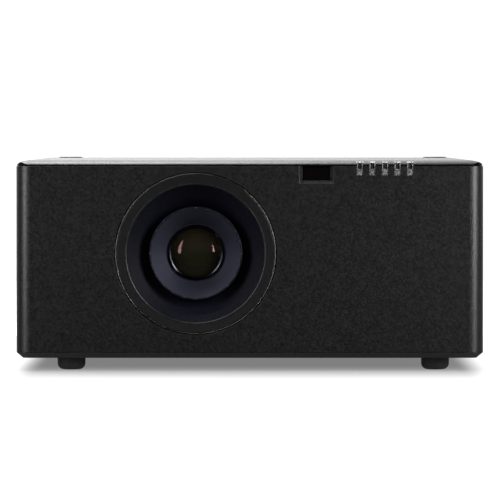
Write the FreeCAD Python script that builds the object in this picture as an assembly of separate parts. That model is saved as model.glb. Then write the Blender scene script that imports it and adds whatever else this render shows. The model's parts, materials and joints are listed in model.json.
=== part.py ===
import FreeCAD, Part
import math
import os

from FreeCAD import Placement, Rotation, Vector

# Large-lens projector, millimetres.
# Origin: on the floor under the centre of the housing. +X to the right seen from the front,
# +Y from the front to the back, +Z up.

# ---- driving dimensions ----------------------------------------------------------------
WIDTH = 432.0
DEPTH = 508.0
TOP = 195.0              # top face above the floor
UNDERSIDE = 12.0         # underside above the floor
CORNER = 13.0            # plan radius of the vertical corners
WALL = 3.0
SEAM = 0.3               # gap between two housing pieces
EDGE_BREAK = 0.4         # chamfer on the outer edges of panels and doors

BEVEL_RISE = 5.0         # bevel that runs round the underside
BEVEL_INSET = 6.0
FLOOR = 2.5              # thickness of the tray's floor

COVER_INSET = 0.7        # the lid is a little narrower than the walls
COVER_EDGE = 5.0         # height of the lid's rounded upper edges
COVER_CROWN = 16.0       # width of the lid's rounded upper edges
COVER_SEAM_FRONT = 189.6
COVER_SEAM_SIDE = 187.3

LENS_X = -50.0
LENS_Z = 108.5
TRIM_OUTER = 74.1
TRIM_INNER = 63.5
TRIM_POCKET = 75.2

RUN = 0.05               # radial clearance of a running fit
SLIDE_GAP = 0.3          # clearance of a sliding plate

# ---- derived places --------------------------------------------------------------------
X_SIDE = WIDTH / 2
Y_FRONT = -DEPTH / 2
Y_BACK = DEPTH / 2
Z_WALLS = UNDERSIDE + BEVEL_RISE
Z_FLOOR = UNDERSIDE + FLOOR
Y_FRONT_SEAM = Y_FRONT + 18.0
Y_BACK_SEAM = Y_BACK - 18.0

AXIS_X = Vector(1, 0, 0)
AXIS_Y = Vector(0, 1, 0)
AXIS_Z = Vector(0, 0, 1)


# ---- small tools -----------------------------------------------------------------------
def box(x, y, z):
    size = (x[1] - x[0], y[1] - y[0], z[1] - z[0])
    return Part.makeBox(size[0], size[1], size[2], Vector(x[0], y[0], z[0]))


def rod(start, axis, radius, length):
    return Part.makeCylinder(radius, length, Vector(*start), axis)


def tube(start, axis, outer, inner, length):
    return rod(start, axis, outer, length).cut(rod(start, axis, inner, length))


def fused(shapes):
    result = shapes[0]
    for shape in shapes[1:]:
        result = result.fuse(shape)
    return result.removeSplitter()


def less(body, holes):
    for hole in holes:
        body = body.cut(hole)
    return body


def turned(profile, centre, axis):
    """Solid of revolution; the profile is (radius, height along the axis) points."""
    points = [Vector(radius, 0, height) for radius, height in profile]
    face = Part.Face(Part.makePolygon(points + points[:1]))
    solid = face.revolve(Vector(0, 0, 0), AXIS_Z, 360)
    solid.Placement = Placement(Vector(*centre), Rotation(AXIS_Z, axis))
    return solid


def lens_turned(profile):
    """Solid of revolution about the lens axis; the profile is (radius, y) points."""
    return turned(profile, (LENS_X, 0, LENS_Z), AXIS_Y)


def outline(inset, z):
    """Closed plan outline of the housing, moved inwards by inset, at height z."""
    x = X_SIDE - inset
    y = Y_BACK - inset
    radius = max(CORNER - inset, 1.0)
    edges = []
    for turn, (sx, sy) in enumerate([(1, 1), (-1, 1), (-1, -1), (1, -1)]):
        centre = Vector(sx * (x - radius), sy * (y - radius), z)
        first = math.radians(90 * turn)
        corner = [centre + Vector(math.cos(a), math.sin(a), 0) * radius
                  for a in (first, first + math.pi / 4, first + math.pi / 2)]
        if edges:
            edges.append(Part.LineSegment(edges[-1].EndPoint, corner[0]))
        edges.append(Part.Arc(*corner))
    edges.append(Part.LineSegment(edges[-1].EndPoint, edges[0].StartPoint))
    return Part.Wire([edge.toShape() for edge in edges])


def slab(inset, z0, z1):
    return Part.Face(outline(inset, z0)).extrude(Vector(0, 0, z1 - z0))


def slots(x, y, z, count, step):
    """A row of equal box cut-outs, each one moved on by step."""
    row = []
    for index in range(count):
        cut = box(x, y, z)
        cut.translate(Vector(*step) * index)
        row.append(cut)
    return row


def broken_edges(solid, wanted):
    """The solid with a small chamfer on each edge that wanted picks by its bounding box."""
    return solid.makeChamfer(EDGE_BREAK, [edge for edge in solid.Edges if wanted(edge.BoundBox)])


def save(node, *solids):
    shape = solids[0] if len(solids) == 1 else Part.makeCompound(list(solids))
    shape.exportStep(os.path.join("parts", node + ".step"))


os.makedirs("parts", exist_ok=True)

# ---- base tray and feet ----------------------------------------------------------------
FOOT_RADIUS = 13.0
FOOT_PLACES = {
    "front_left": (-166.0, Y_FRONT + 40),
    "front_right": (172.5, Y_FRONT + 40),
    "rear_left": (-166.0, Y_BACK - 40),
    "rear_right": (172.5, Y_BACK - 40),
}
STUD_RADIUS = 4.0
STUD_TOP = 32.0
FOOT_BOSS = 9.0
MOUNT_X = 120.0          # half spacing of the ceiling-mount holes
MOUNT_Y = 150.0
MOUNT_HOLE = 2.5         # tapped M6
MOUNT_BOSS = 7.0


TRAY_SCREWS = [(x, y) for x in (-195.0, -65.0, 65.0, 195.0) for y in (Y_FRONT + 14, Y_BACK - 14)]
SCREW_HEAD = 3.0
SCREW_SHANK = 1.5
SCREW_SINK = 1.7         # depth of the counterbore that hides a screw's head


def screw_holes(place, outward):
    """Counterbore and clearance hole for one screw, from the outer surface at place."""
    start = Vector(*place) - outward * 6
    bore = Part.makeCylinder(SCREW_SHANK + 0.1, 8, start, outward)
    sink = Part.makeCylinder(SCREW_HEAD + 0.3, 3, Vector(*place) - outward * SCREW_SINK, outward)
    return [bore, sink]


def screw(place, outward):
    """Pan-head screw in its counterbore; place is on the outer surface."""
    base = Vector(*place) - outward * SCREW_SINK
    head = Part.makeCylinder(SCREW_HEAD, SCREW_SINK - 0.1, base, outward)
    shank = Part.makeCylinder(SCREW_SHANK, 4, base - outward * 4, outward)
    cross = [Part.makeBox(3.2, 0.7, 3, Vector(-1.6, -0.35, 0.8)),
             Part.makeBox(0.7, 3.2, 3, Vector(-0.35, -1.6, 0.8))]
    for bar in cross:
        bar.Placement = Placement(base, Rotation(AXIS_Z, outward)).multiply(bar.Placement)
    return less(fused([head, shank]), cross)


def base_tray():
    lower = outline(BEVEL_INSET, UNDERSIDE)
    upper = outline(0, Z_WALLS)
    shell = Part.makeLoft([lower, upper], True, True)
    tray = shell.cut(slab(BEVEL_INSET + 1, Z_FLOOR, Z_WALLS))
    bosses = [rod((x, y, Z_FLOOR), AXIS_Z, FOOT_BOSS, 15.5) for x, y in FOOT_PLACES.values()]
    holes = [rod((x, y, UNDERSIDE), AXIS_Z, STUD_RADIUS + RUN, 18) for x, y in FOOT_PLACES.values()]
    for sx in (-1, 1):
        for sy in (-1, 1):
            place = (sx * MOUNT_X, sy * MOUNT_Y, UNDERSIDE)
            bosses.append(rod(place, AXIS_Z, MOUNT_BOSS, 12))
            holes.append(rod(place, AXIS_Z, MOUNT_HOLE, 12))
    holes += [cut for x, y in TRAY_SCREWS for cut in screw_holes((x, y, UNDERSIDE), AXIS_Z * -1)]
    vents = slots((40, 100), (-190, -187), (UNDERSIDE, Z_FLOOR), 9, (0, 7, 0))
    vents += slots((-100, -40), (60, 63), (UNDERSIDE, Z_FLOOR), 9, (0, 7, 0))
    return less(fused([tray] + bosses), holes + vents)


def foot(x, y):
    """Rubber foot with its moulded-in stud; the stud runs in the tray's boss."""
    bulge = 6.0
    profile = [(0, 0), (FOOT_RADIUS - bulge, 0)]
    for step in range(1, 7):
        angle = math.radians(15 * step)
        out = FOOT_RADIUS - bulge + bulge * math.sin(angle)
        profile.append((out, bulge - bulge * math.cos(angle)))
    profile += [(FOOT_RADIUS, 10.6), (FOOT_RADIUS - 1, UNDERSIDE - SEAM)]
    profile += [(STUD_RADIUS, UNDERSIDE - SEAM), (STUD_RADIUS, STUD_TOP), (0, STUD_TOP)]
    return turned(profile, (x, y, 0), AXIS_Z)


save("base_tray", base_tray())
for place, (foot_x, foot_y) in FOOT_PLACES.items():
    save("foot_" + place, foot(foot_x, foot_y))

# ---- front panel -----------------------------------------------------------------------
IR_X = (48.7, 74.5)
IR_Z = (176.1, COVER_SEAM_FRONT - SEAM)
PIPE_FIRST = 101.6
PIPE_PITCH = 11.62
PIPE_COUNT = 5
PIPE_WIDTH = 5.2
PIPE_BOTTOM = 180.8
PIPE_BLOCK_TOP = 186.7   # below it the bar is full, above it it is a channel
PIPE_TOP = 191.6
PIPE_RAIL = 0.7
PIPE_CHANNEL = 1.5
PIPE_BACK = Y_FRONT + 6.0
PIPE_CENTRES = [PIPE_FIRST + PIPE_PITCH * index for index in range(PIPE_COUNT)]


def walls(z_top):
    return slab(0, Z_WALLS + 0.2, z_top).cut(slab(WALL, Z_WALLS, z_top + 1))


def pipe_cut(centre, spare):
    half = PIPE_WIDTH / 2 + spare
    return box((centre - half, centre + half), (Y_FRONT - 1, PIPE_BACK + spare),
               (PIPE_BOTTOM - spare, PIPE_TOP + spare))


def front_panel():
    top = COVER_SEAM_FRONT - SEAM
    whole = (-X_SIDE - 1, X_SIDE + 1)
    panel = walls(top).common(box(whole, (Y_FRONT - 1, Y_FRONT_SEAM), (0, TOP)))
    panel = broken_edges(panel, lambda b: b.YMin > Y_FRONT_SEAM - 0.01 and abs(b.XMin) > X_SIDE - 0.01
                         and b.XLength < 0.01)
    boss = rod((LENS_X, Y_FRONT + WALL, LENS_Z), AXIS_Y, TRIM_POCKET + 5, 5)
    frame = box((IR_X[0] - 5, IR_X[1] + 5), (Y_FRONT + WALL, Y_FRONT + 8), (IR_Z[0] - 5, top))
    panel = fused([panel, boss, frame])
    pocket = rod((LENS_X, Y_FRONT - 1, LENS_Z), AXIS_Y, TRIM_POCKET, 6)
    throat = rod((LENS_X, Y_FRONT - 1, LENS_Z), AXIS_Y, TRIM_INNER + 4.5, 20)
    window = box(IR_X, (Y_FRONT - 1, Y_FRONT + 20), (IR_Z[0], top + 1))
    lead_in = Part.makeLoft([rectangle(0.0, 3.4), rectangle(3.0, 0.0)], True, True)
    cuts = [pocket, throat, window, lead_in]
    cuts += [pipe_cut(centre, 0.1) for centre in PIPE_CENTRES]
    return less(panel, cuts)


def rectangle(spread, depth):
    """Outline of the window's bevelled surround, open at the panel's top edge."""
    y = Y_FRONT + depth
    low = IR_Z[0] - spread
    high = COVER_SEAM_FRONT + 1
    corners = [(IR_X[0] - spread, low), (IR_X[1] + spread, low),
               (IR_X[1] + spread, high), (IR_X[0] - spread, high)]
    points = [Vector(x, y, z) for x, z in corners]
    return Part.makePolygon(points + points[:1])


def ir_window():
    window = box((IR_X[0] + 0.2, IR_X[1] - 0.2), (Y_FRONT + 3.6, Y_FRONT + 5.6),
                 (IR_Z[0] + 0.2, IR_Z[1] - 0.2))
    flange = box((IR_X[0] - 2, IR_X[1] + 2), (Y_FRONT + 8.1, Y_FRONT + 9.6),
                 (IR_Z[0] - 2, IR_Z[1] - 0.2))
    stem = box((IR_X[0] + 0.2, IR_X[1] - 0.2), (Y_FRONT + 5.6, Y_FRONT + 8.1),
               (IR_Z[0] + 0.2, IR_Z[1] - 0.2))
    return fused([window, stem, flange])


def light_pipe(centre):
    """Clear bar across the seam of the lid: a block below, two thin rails with a web above."""
    front = Y_FRONT + COVER_INSET
    half = PIPE_WIDTH / 2
    bar = box((centre - half, centre + half), (front, PIPE_BACK), (PIPE_BOTTOM, PIPE_TOP))
    inner = half - PIPE_RAIL
    channel = box((centre - inner, centre + inner), (front - 1, front + PIPE_CHANNEL),
                  (PIPE_BLOCK_TOP, PIPE_TOP + 1))
    return bar.cut(channel)


def lens_trim_ring():
    front = Y_FRONT
    return lens_turned([
        (TRIM_OUTER, front + 4.9), (TRIM_OUTER, front + 1.6), (TRIM_OUTER - 1.4, front + 0.2),
        (TRIM_INNER + 1.4, front + 0.9), (TRIM_INNER + 0.5, front + 1.4),
        (TRIM_INNER, front + 2.4), (TRIM_INNER, front + 7.6), (TRIM_INNER + 2.5, front + 7.6),
        (TRIM_INNER + 2.5, front + 4.9)])


save("front_panel", front_panel())
save("lens_trim_ring", lens_trim_ring())
save("ir_window", ir_window())
save("led_light_pipes", *[light_pipe(centre) for centre in PIPE_CENTRES])

# ---- side panels, lamp door and filter cassette ----------------------------------------
DOOR_Y = (-118.0, -8.0)
DOOR_Z = (53.0, 160.0)
DOOR_GAP = 0.5
DOOR_AXIS_X = X_SIDE - WALL / 2
DOOR_PIN = 1.2
FILTER_Y = (30.0, 190.0)
FILTER_Z = (38.0, 160.0)
FILTER_DEPTH = 20.0
FAN_Y = 120.0
FAN_Z = 95.0


def side_wall(x):
    """Flat side wall between the front and rear panels, with its outer edges broken."""
    span = (Y_FRONT_SEAM + SEAM, Y_BACK_SEAM - SEAM)
    wall = box(x, span, (Z_WALLS + 0.2, COVER_SEAM_SIDE - SEAM))
    return broken_edges(wall, lambda b: min(abs(b.XMin), abs(b.XMax)) > X_SIDE - 0.01)


def left_side_panel():
    panel = side_wall((-X_SIDE, -X_SIDE + WALL))
    hatch = box((-X_SIDE - 1, -X_SIDE + WALL + 1), FILTER_Y, FILTER_Z)
    intake = slots((-X_SIDE - 1, -X_SIDE + WALL + 1), (-200, -196.5), (40, 100), 18, (0, 8, 0))
    return less(panel, [hatch] + intake)


def filter_cassette():
    """Louvred cover with the filter's frame behind it; it pulls straight out."""
    y = (FILTER_Y[0] + DOOR_GAP, FILTER_Y[1] - DOOR_GAP)
    z = (FILTER_Z[0] + DOOR_GAP, FILTER_Z[1] - DOOR_GAP)
    cover = broken_edges(box((-X_SIDE, -X_SIDE + WALL), y, z), lambda b: b.XMax < -X_SIDE + 0.01)
    frame = box((-X_SIDE + WALL, -X_SIDE + FILTER_DEPTH), (y[0] + 1, y[1] - 1), (z[0] + 1, z[1] - 1))
    frame = frame.cut(box((-X_SIDE + WALL, -X_SIDE + FILTER_DEPTH), (y[0] + 4, y[1] - 4),
                          (z[0] + 4, z[1] - 4)))
    louvres = []
    for column in (y[0] + 9, y[0] + 83):
        louvres += slots((-X_SIDE - 1, -X_SIDE + WALL), (column, column + 67),
                         (z[0] + 10, z[0] + 13), 14, (0, 0, 7.2))
    grip = box((-X_SIDE - 1, -X_SIDE + 1.6), (y[0] + 60, y[0] + 99), (z[1] - 7.5, z[1] - 2.5))
    return less(fused([cover, frame]), louvres + [grip])


def filter_media():
    """Pleated filter sheet, modelled as a zigzag block inside the cassette's frame."""
    y0 = FILTER_Y[0] + DOOR_GAP + 4.2
    y1 = FILTER_Y[1] - DOOR_GAP - 4.2
    z = (FILTER_Z[0] + DOOR_GAP + 4.2, FILTER_Z[1] - DOOR_GAP - 4.2)
    near = -X_SIDE + WALL + 1.0
    far = -X_SIDE + FILTER_DEPTH - 1.0
    pleats = 20
    pitch = (y1 - y0) / pleats
    outward = []
    inward = []
    for index in range(pleats):
        outward += [(near, y0 + pitch * index), (far - 1.5, y0 + pitch * (index + 0.5))]
        inward += [(near + 1.5, y0 + pitch * index), (far, y0 + pitch * (index + 0.5))]
    outward.append((near, y1))
    inward.append((near + 1.5, y1))
    points = [Vector(x, y, z[0]) for x, y in outward + inward[::-1]]
    face = Part.Face(Part.makePolygon(points + points[:1]))
    return face.extrude(Vector(0, 0, z[1] - z[0]))


def door_lug(y0, y1):
    return box((X_SIDE - 8, X_SIDE - WALL), (y0, y1), (DOOR_Z[0] - 6, DOOR_Z[0] + 6))


def right_side_panel():
    panel = side_wall((X_SIDE - WALL, X_SIDE))
    lugs = [door_lug(DOOR_Y[0] - 8, DOOR_Y[0]), door_lug(DOOR_Y[1], DOOR_Y[1] + 8)]
    panel = fused([panel] + lugs)
    doorway = box((X_SIDE - WALL - 1, X_SIDE + 1), DOOR_Y, (DOOR_Z[0] - WALL / 2 - DOOR_GAP, DOOR_Z[1]))
    bore = rod((DOOR_AXIS_X, DOOR_Y[0] - 5, DOOR_Z[0]), AXIS_Y, DOOR_PIN + RUN, DOOR_Y[1] - DOOR_Y[0] + 10)
    exhaust = []
    for column in (FAN_Y - 66, FAN_Y - 21, FAN_Y + 24):
        exhaust += slots((X_SIDE - WALL - 1, X_SIDE + 1), (column, column + 42),
                         (34, 37.5), 16, (0, 0, 7.5))
    return less(panel, [doorway, bore] + exhaust)


def lamp_door():
    """Flap in the right side; it swings out and down on two stub pins at its lower edge."""
    y = (DOOR_Y[0] + DOOR_GAP, DOOR_Y[1] - DOOR_GAP)
    leaf = box((X_SIDE - WALL, X_SIDE), y, (DOOR_Z[0], DOOR_Z[1] - DOOR_GAP))
    leaf = broken_edges(leaf, lambda b: b.XMin > X_SIDE - 0.01 and b.ZMax > DOOR_Z[0] + 1)
    edge = rod((DOOR_AXIS_X, y[0], DOOR_Z[0]), AXIS_Y, WALL / 2, y[1] - y[0])
    pins = rod((DOOR_AXIS_X, DOOR_Y[0] - 4, DOOR_Z[0]), AXIS_Y, DOOR_PIN, DOOR_Y[1] - DOOR_Y[0] + 8)
    grip = box((X_SIDE - 1.6, X_SIDE + 1), (-80, -46), (DOOR_Z[1] - 9, DOOR_Z[1] - 4))
    return fused([leaf, edge, pins]).cut(grip)


save("left_side_panel", left_side_panel())
save("filter_cassette", filter_cassette())
save("filter_media", filter_media())
save("right_side_panel", right_side_panel())
save("lamp_door", lamp_door())

# ---- rear panel, sockets and keys ------------------------------------------------------
RECESS_X = (-190.0, 40.0)
RECESS_Z = (30.0, 112.0)
RECESS_FLOOR = Y_BACK - 12
IO_BOARD_Y = Y_BACK - 28
BNC_PLACES = [(-170.0 + 19 * index, 90.0) for index in range(5)]
VGA_PLACES = [(-160.0, 52.0), (-118.0, 52.0)]
HDMI_PLACES = [(-78.0, 52.0), (-52.0, 52.0)]
LAN_PLACE = (-22.0, 52.0)
SERIAL_PLACE = (14.0, 52.0)
REAR_SCREWS = [(x, z) for x in (-205.0, 205.0) for z in (26.0, 178.0)]
REAR_SCREWS += [(-75.0, 20.0), (75.0, 20.0), (-75.0, 181.0), (75.0, 181.0)]
MODULE_X = (120.0, 188.0)
MODULE_Z = (40.0, 70.0)
INLET_X = 137.0
INLET_Z = 55.0
ROCKER_X = 172.0
ROCKER_Y = Y_BACK - 9
ROCKER_TILT = 9.0
KEY_CENTRE = (70.0, 150.0)
KEY_STEP = 17.0
KEY_PLACES = {
    "enter": (0, 0), "up": (0, 1), "down": (0, -1), "left": (1, 0), "right": (-1, 0),
    "power": (-2.6, 0),
}
KEY_RADIUS = 6.0


def key_centre(name):
    """Centre of a key on the rear face; left and right are as the user sees them."""
    across, up = KEY_PLACES[name]
    return KEY_CENTRE[0] + across * KEY_STEP, KEY_CENTRE[1] + up * KEY_STEP


def centred(place, width, height, y):
    half_w = width / 2
    half_h = height / 2
    return box((place[0] - half_w, place[0] + half_w), y, (place[1] - half_h, place[1] + half_h))


def rear_panel():
    ring = walls(COVER_SEAM_SIDE - SEAM)
    panel = ring.common(box((-X_SIDE - 1, X_SIDE + 1), (Y_BACK_SEAM, Y_BACK + 1), (0, TOP)))
    panel = broken_edges(panel, lambda b: b.YMax < Y_BACK_SEAM + 0.01 and abs(b.XMin) > X_SIDE - 0.01
                         and b.XLength < 0.01)
    tub = box((RECESS_X[0] - 2.5, RECESS_X[1] + 2.5), (RECESS_FLOOR - 2.5, Y_BACK - WALL),
              (RECESS_Z[0] - 2.5, RECESS_Z[1] + 2.5))
    collar = centred(LAN_PLACE, 22, 19.5, (IO_BOARD_Y + 2.5, RECESS_FLOOR - 2))
    panel = fused([panel, tub, collar])
    through = (RECESS_FLOOR - 4, Y_BACK + 1)
    cuts = [box(RECESS_X, (RECESS_FLOOR, Y_BACK + 1), RECESS_Z)]
    cuts += [rod((x, RECESS_FLOOR - 4, z), AXIS_Y, 5.6, 6) for x, z in BNC_PLACES]
    cuts += [centred(place, 32, 14, through) for place in VGA_PLACES]
    cuts += [centred(place, 16, 7, through) for place in HDMI_PLACES]
    cuts += [centred(LAN_PLACE, 17, 14.5, (IO_BOARD_Y, Y_BACK)), centred(SERIAL_PLACE, 32, 14, through)]
    cuts.append(box((MODULE_X[0] - SEAM, MODULE_X[1] + SEAM), through,
                    (MODULE_Z[0] - SEAM, MODULE_Z[1] + SEAM)))
    for x, z in REAR_SCREWS:
        cuts += screw_holes((x, Y_BACK, z), AXIS_Y)
    for name in KEY_PLACES:
        x, z = key_centre(name)
        cuts.append(rod((x, Y_BACK - WALL - 1, z), AXIS_Y, KEY_RADIUS + 0.35, WALL + 2))
    cuts += slots((-180, -176.5), through, (128, 172), 24, (7.5, 0, 0))
    cuts += slots((120, 123.5), through, (88, 172), 10, (7.5, 0, 0))
    return less(panel, cuts)


def bnc_jack(x, z):
    start = IO_BOARD_Y + 2
    barrel = tube((x, start, z), AXIS_Y, 4.8, 3.6, Y_BACK - 3 - start)
    stop = rod((x, start, z), AXIS_Y, 4.8, 8)
    nut = rod((x, RECESS_FLOOR + 0.1, z), AXIS_Y, 7, 2)
    pin = rod((x, start, z), AXIS_Y, 0.8, 17)
    lugs = rod((x, Y_BACK - 6, z - 5.8), AXIS_Z, 0.9, 11.6).cut(rod((x, Y_BACK - 8, z), AXIS_Y, 4, 5))
    return fused([barrel, stop, nut, pin, lugs])


def d_socket(place):
    """D-shaped socket with its flange and two jack posts."""
    front = RECESS_FLOOR + 5
    body = centred(place, 31, 12.5, (IO_BOARD_Y + 2, RECESS_FLOOR + 1))
    shell = centred(place, 17, 8.5, (RECESS_FLOOR + 1, front))
    hollow = centred(place, 16, 7.5, (RECESS_FLOOR - 4, front))
    core = centred(place, 14.4, 5.9, (RECESS_FLOOR - 4, front - 0.6))
    pins = []
    for row in (-1.6, 1.6):
        for column in range(5):
            pins.append(rod((place[0] - 5 + 2.5 * column, front - 2.6, place[1] + row), AXIS_Y, 0.6, 2.0))
    posts = [rod((place[0] + side * 12.5, RECESS_FLOOR + 1, place[1]), AXIS_Y, 2.6, 4) for side in (-1, 1)]
    return fused([body, shell] + posts).cut(hollow).fuse(less(core, pins)).removeSplitter()


def hdmi_socket(place):
    body = centred(place, 15, 6, (IO_BOARD_Y + 2, RECESS_FLOOR + 1))
    hollow = centred(place, 13.9, 4.9, (RECESS_FLOOR - 8, RECESS_FLOOR + 1))
    tongue = centred(place, 11, 1.2, (RECESS_FLOOR - 8, RECESS_FLOOR))
    return body.cut(hollow).fuse(tongue).removeSplitter()


def lan_socket(place):
    body = centred(place, 16, 13.5, (IO_BOARD_Y + 2, RECESS_FLOOR + 1))
    hollow = centred(place, 12, 8, (RECESS_FLOOR - 11, RECESS_FLOOR + 1))
    latch = centred((place[0], place[1] - 5), 6, 3, (RECESS_FLOOR - 11, RECESS_FLOOR + 1))
    return body.cut(hollow).cut(latch)


def io_board():
    board = box((RECESS_X[0], RECESS_X[1]), (IO_BOARD_Y, IO_BOARD_Y + 2), (26, 112))
    chips = [centred((-150, 72), 14, 14, (IO_BOARD_Y - 2, IO_BOARD_Y)),
             centred((-90, 75), 20, 20, (IO_BOARD_Y - 2.4, IO_BOARD_Y)),
             centred((-30, 82), 12, 16, (IO_BOARD_Y - 2, IO_BOARD_Y))]
    return fused([board] + chips)


def ac_inlet():
    """Moulded mains module: three-pin inlet beside the well of the power rocker."""
    flange = box((MODULE_X[0], MODULE_X[1]), (Y_BACK - 4, Y_BACK - 0.4), MODULE_Z)
    inner_x = (MODULE_X[0] + 1, MODULE_X[1] - 1)
    inner_z = (MODULE_Z[0] + 1, MODULE_Z[1] - 1)
    body = box(inner_x, (Y_BACK - 26, Y_BACK - 4), inner_z)
    cavity = centred((INLET_X, INLET_Z), 24, 17, (Y_BACK - 18, Y_BACK))
    well = centred((ROCKER_X, INLET_Z), 15, 24, (Y_BACK - 20, Y_BACK))
    shaft = rod((ROCKER_X - 10, ROCKER_Y, INLET_Z), AXIS_X, 1.5 + RUN, 20)
    pins = [centred((INLET_X - 7, INLET_Z - 2), 2, 4.5, (Y_BACK - 18, Y_BACK - 4)),
            centred((INLET_X + 7, INLET_Z - 2), 2, 4.5, (Y_BACK - 18, Y_BACK - 4)),
            centred((INLET_X, INLET_Z + 2.5), 2, 4.5, (Y_BACK - 18, Y_BACK - 3))]
    return fused([less(fused([flange, body]), [cavity, well, shaft])] + pins)


def power_rocker():
    """Two-sided rocker, at rest pressed in at its lower end."""
    side = [(-5, -8.5), (4.4, -10.5), (6.2, -10.5), (4.4, 0), (6.2, 10.5), (4.4, 10.5), (-5, 8.5)]
    points = [Vector(ROCKER_X - 7, ROCKER_Y + y, INLET_Z + z) for y, z in side]
    face = Part.Face(Part.makePolygon(points + points[:1]))
    rocker = face.extrude(Vector(14, 0, 0))
    shaft = rod((ROCKER_X - 9.5, ROCKER_Y, INLET_Z), AXIS_X, 1.5, 19)
    rocker = fused([rocker, shaft])
    rocker.rotate(Vector(ROCKER_X, ROCKER_Y, INLET_Z), AXIS_X, -ROCKER_TILT)
    return rocker


def key(name):
    x, z = key_centre(name)
    cap = rod((x, Y_BACK - 4.6, z), AXIS_Y, KEY_RADIUS, 4.2)
    cap = cap.makeFillet(0.7, [edge for edge in cap.Edges if edge.BoundBox.YMin > Y_BACK - 1])
    flange = rod((x, Y_BACK - 4.6, z), AXIS_Y, KEY_RADIUS + 1.4, 1.2)
    return fused([cap, flange])


def keypad_board():
    y = Y_BACK - 8
    xs = [key_centre(name)[0] for name in KEY_PLACES]
    board = box((min(xs) - 10, max(xs) + 10), (y - 1.6, y), (KEY_CENTRE[1] - 27, KEY_CENTRE[1] + 27))
    switches = []
    for name in KEY_PLACES:
        x, z = key_centre(name)
        switches.append(centred((x, z), 6, 6, (y, y + 1.2)))
        switches.append(rod((x, y + 1.2, z), AXIS_Y, 1.8, 0.8))
    return fused([board] + switches)


save("rear_panel", rear_panel())
save("io_board", io_board())
save("bnc_jacks", *[bnc_jack(x, z) for x, z in BNC_PLACES])
sockets = [d_socket(place) for place in VGA_PLACES + [SERIAL_PLACE]]
sockets += [hdmi_socket(place) for place in HDMI_PLACES] + [lan_socket(LAN_PLACE)]
save("board_sockets", *sockets)
save("ac_inlet", ac_inlet())
save("power_rocker", power_rocker())
save("keypad_board", keypad_board())
for key_name in KEY_PLACES:
    save("key_" + key_name, key(key_name))

# ---- top cover and fasteners -----------------------------------------------------------
CAP_PLACES = [(-181.0, 196.0), (187.0, 196.0)]
CAP_RADIUS = 12.0
CAP_PROUD = 1.0
COVER_STEP = 1.5         # how much lower the lid's inside is under its rounded edge


def crowned_block(reach, place, run):
    """Block with a quarter ellipse along both upper edges; place maps (across, z) to a point."""
    middle = TOP - COVER_EDGE
    base = COVER_SEAM_SIDE - 1
    flat = reach - COVER_CROWN
    arcs = []
    for side in (1, -1):
        tip = place(side * reach, middle)
        crest = place(side * flat, TOP)
        ellipse = Part.Ellipse(tip, crest, place(side * flat, middle))
        arcs.append(Part.ArcOfEllipse(ellipse, 0, math.pi / 2).toShape())
    corners = [place(-reach, middle), place(-reach, base), place(reach, base), place(reach, middle)]
    sides = [Part.makeLine(one, two) for one, two in zip(corners, corners[1:])]
    ridge = Part.makeLine(place(flat, TOP), place(-flat, TOP))
    loop = Part.Wire(Part.__sortEdges__(arcs + sides + [ridge]))
    return Part.Face(loop).extrude(run)


def top_cover():
    lid = slab(COVER_INSET, COVER_SEAM_SIDE, TOP)
    across = crowned_block(X_SIDE - COVER_INSET, lambda u, z: Vector(u, Y_FRONT, z), AXIS_Y * DEPTH)
    along = crowned_block(Y_BACK - COVER_INSET, lambda u, z: Vector(-X_SIDE, u, z), AXIS_X * WIDTH)
    lid = lid.common(across).common(along)
    lid = lid.cut(slab(WALL + 3, COVER_SEAM_SIDE - 1, TOP - WALL - COVER_STEP))
    lid = lid.cut(slab(WALL + COVER_CROWN / 2, COVER_SEAM_SIDE - 1, TOP - WALL))
    step = box((-X_SIDE, X_SIDE), (Y_FRONT, Y_FRONT_SEAM), (COVER_SEAM_SIDE - 1, COVER_SEAM_FRONT))
    cuts = [step] + [pipe_cut(centre, 0.1) for centre in PIPE_CENTRES]
    cuts += [rod((x, y, TOP - 1.5), AXIS_Z, CAP_RADIUS + 0.4, 5) for x, y in CAP_PLACES]
    cuts += [rod((x, y, TOP - 6), AXIS_Z, 3.1, 10) for x, y in CAP_PLACES]
    return less(lid, cuts)


def cover_cap(x, y):
    """Low coin-slotted thumbscrew that holds the lid down."""
    head = rod((x, y, TOP - 1.4), AXIS_Z, CAP_RADIUS, 1.4 + CAP_PROUD)
    rim = [edge for edge in head.Edges if edge.BoundBox.ZMin > TOP + 0.5]
    head = head.makeFillet(0.8, rim)
    shank = rod((x, y, TOP - 16), AXIS_Z, 3.0, 15)
    slot = box((x - 7, x + 7), (y - 0.8, y + 0.8), (TOP + 0.1, TOP + 2))
    return fused([head, shank]).cut(slot)


save("top_cover", top_cover())
save("cover_caps", *[cover_cap(x, y) for x, y in CAP_PLACES])
screws = [screw((x, y, UNDERSIDE), AXIS_Z * -1) for x, y in TRAY_SCREWS]
screws += [screw((x, Y_BACK, z), AXIS_Y) for x, z in REAR_SCREWS]
save("housing_screws", *screws)

# ---- projection lens -------------------------------------------------------------------
BARREL = 43.5
BARREL_FRONT = -238.0
BARREL_BACK = -126.0
BORE = 30.0              # bore in which the moving lens groups run
FRONT_GLASS_Y = -219.0
FRONT_GLASS_CURVE = 42.0
RING_OUTER = 49.0
GEAR_MODULE = 1.0
RING_TEETH = 104         # a full circle's worth; the rings carry a sector of them
PINION_TEETH = 14
BACKLASH = 0.16
RING_TRAVEL = 30.0       # degrees each way
FOCUS_Y = (-212.0, -196.0)
FOCUS_ANGLE = -20.0      # where the focus pinion stands, seen from the front
FOCUS_GROUP_Y = -184.0
ZOOM_Y = (-168.0, -150.0)
ZOOM_ANGLE = -160.0
ZOOM_GROUP_Y = -150.0
MOTOR_RADIUS = 9.0
PINION_SHAFT = 1.5
GEAR_CENTRES = GEAR_MODULE * (RING_TEETH + PINION_TEETH) / 2


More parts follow.
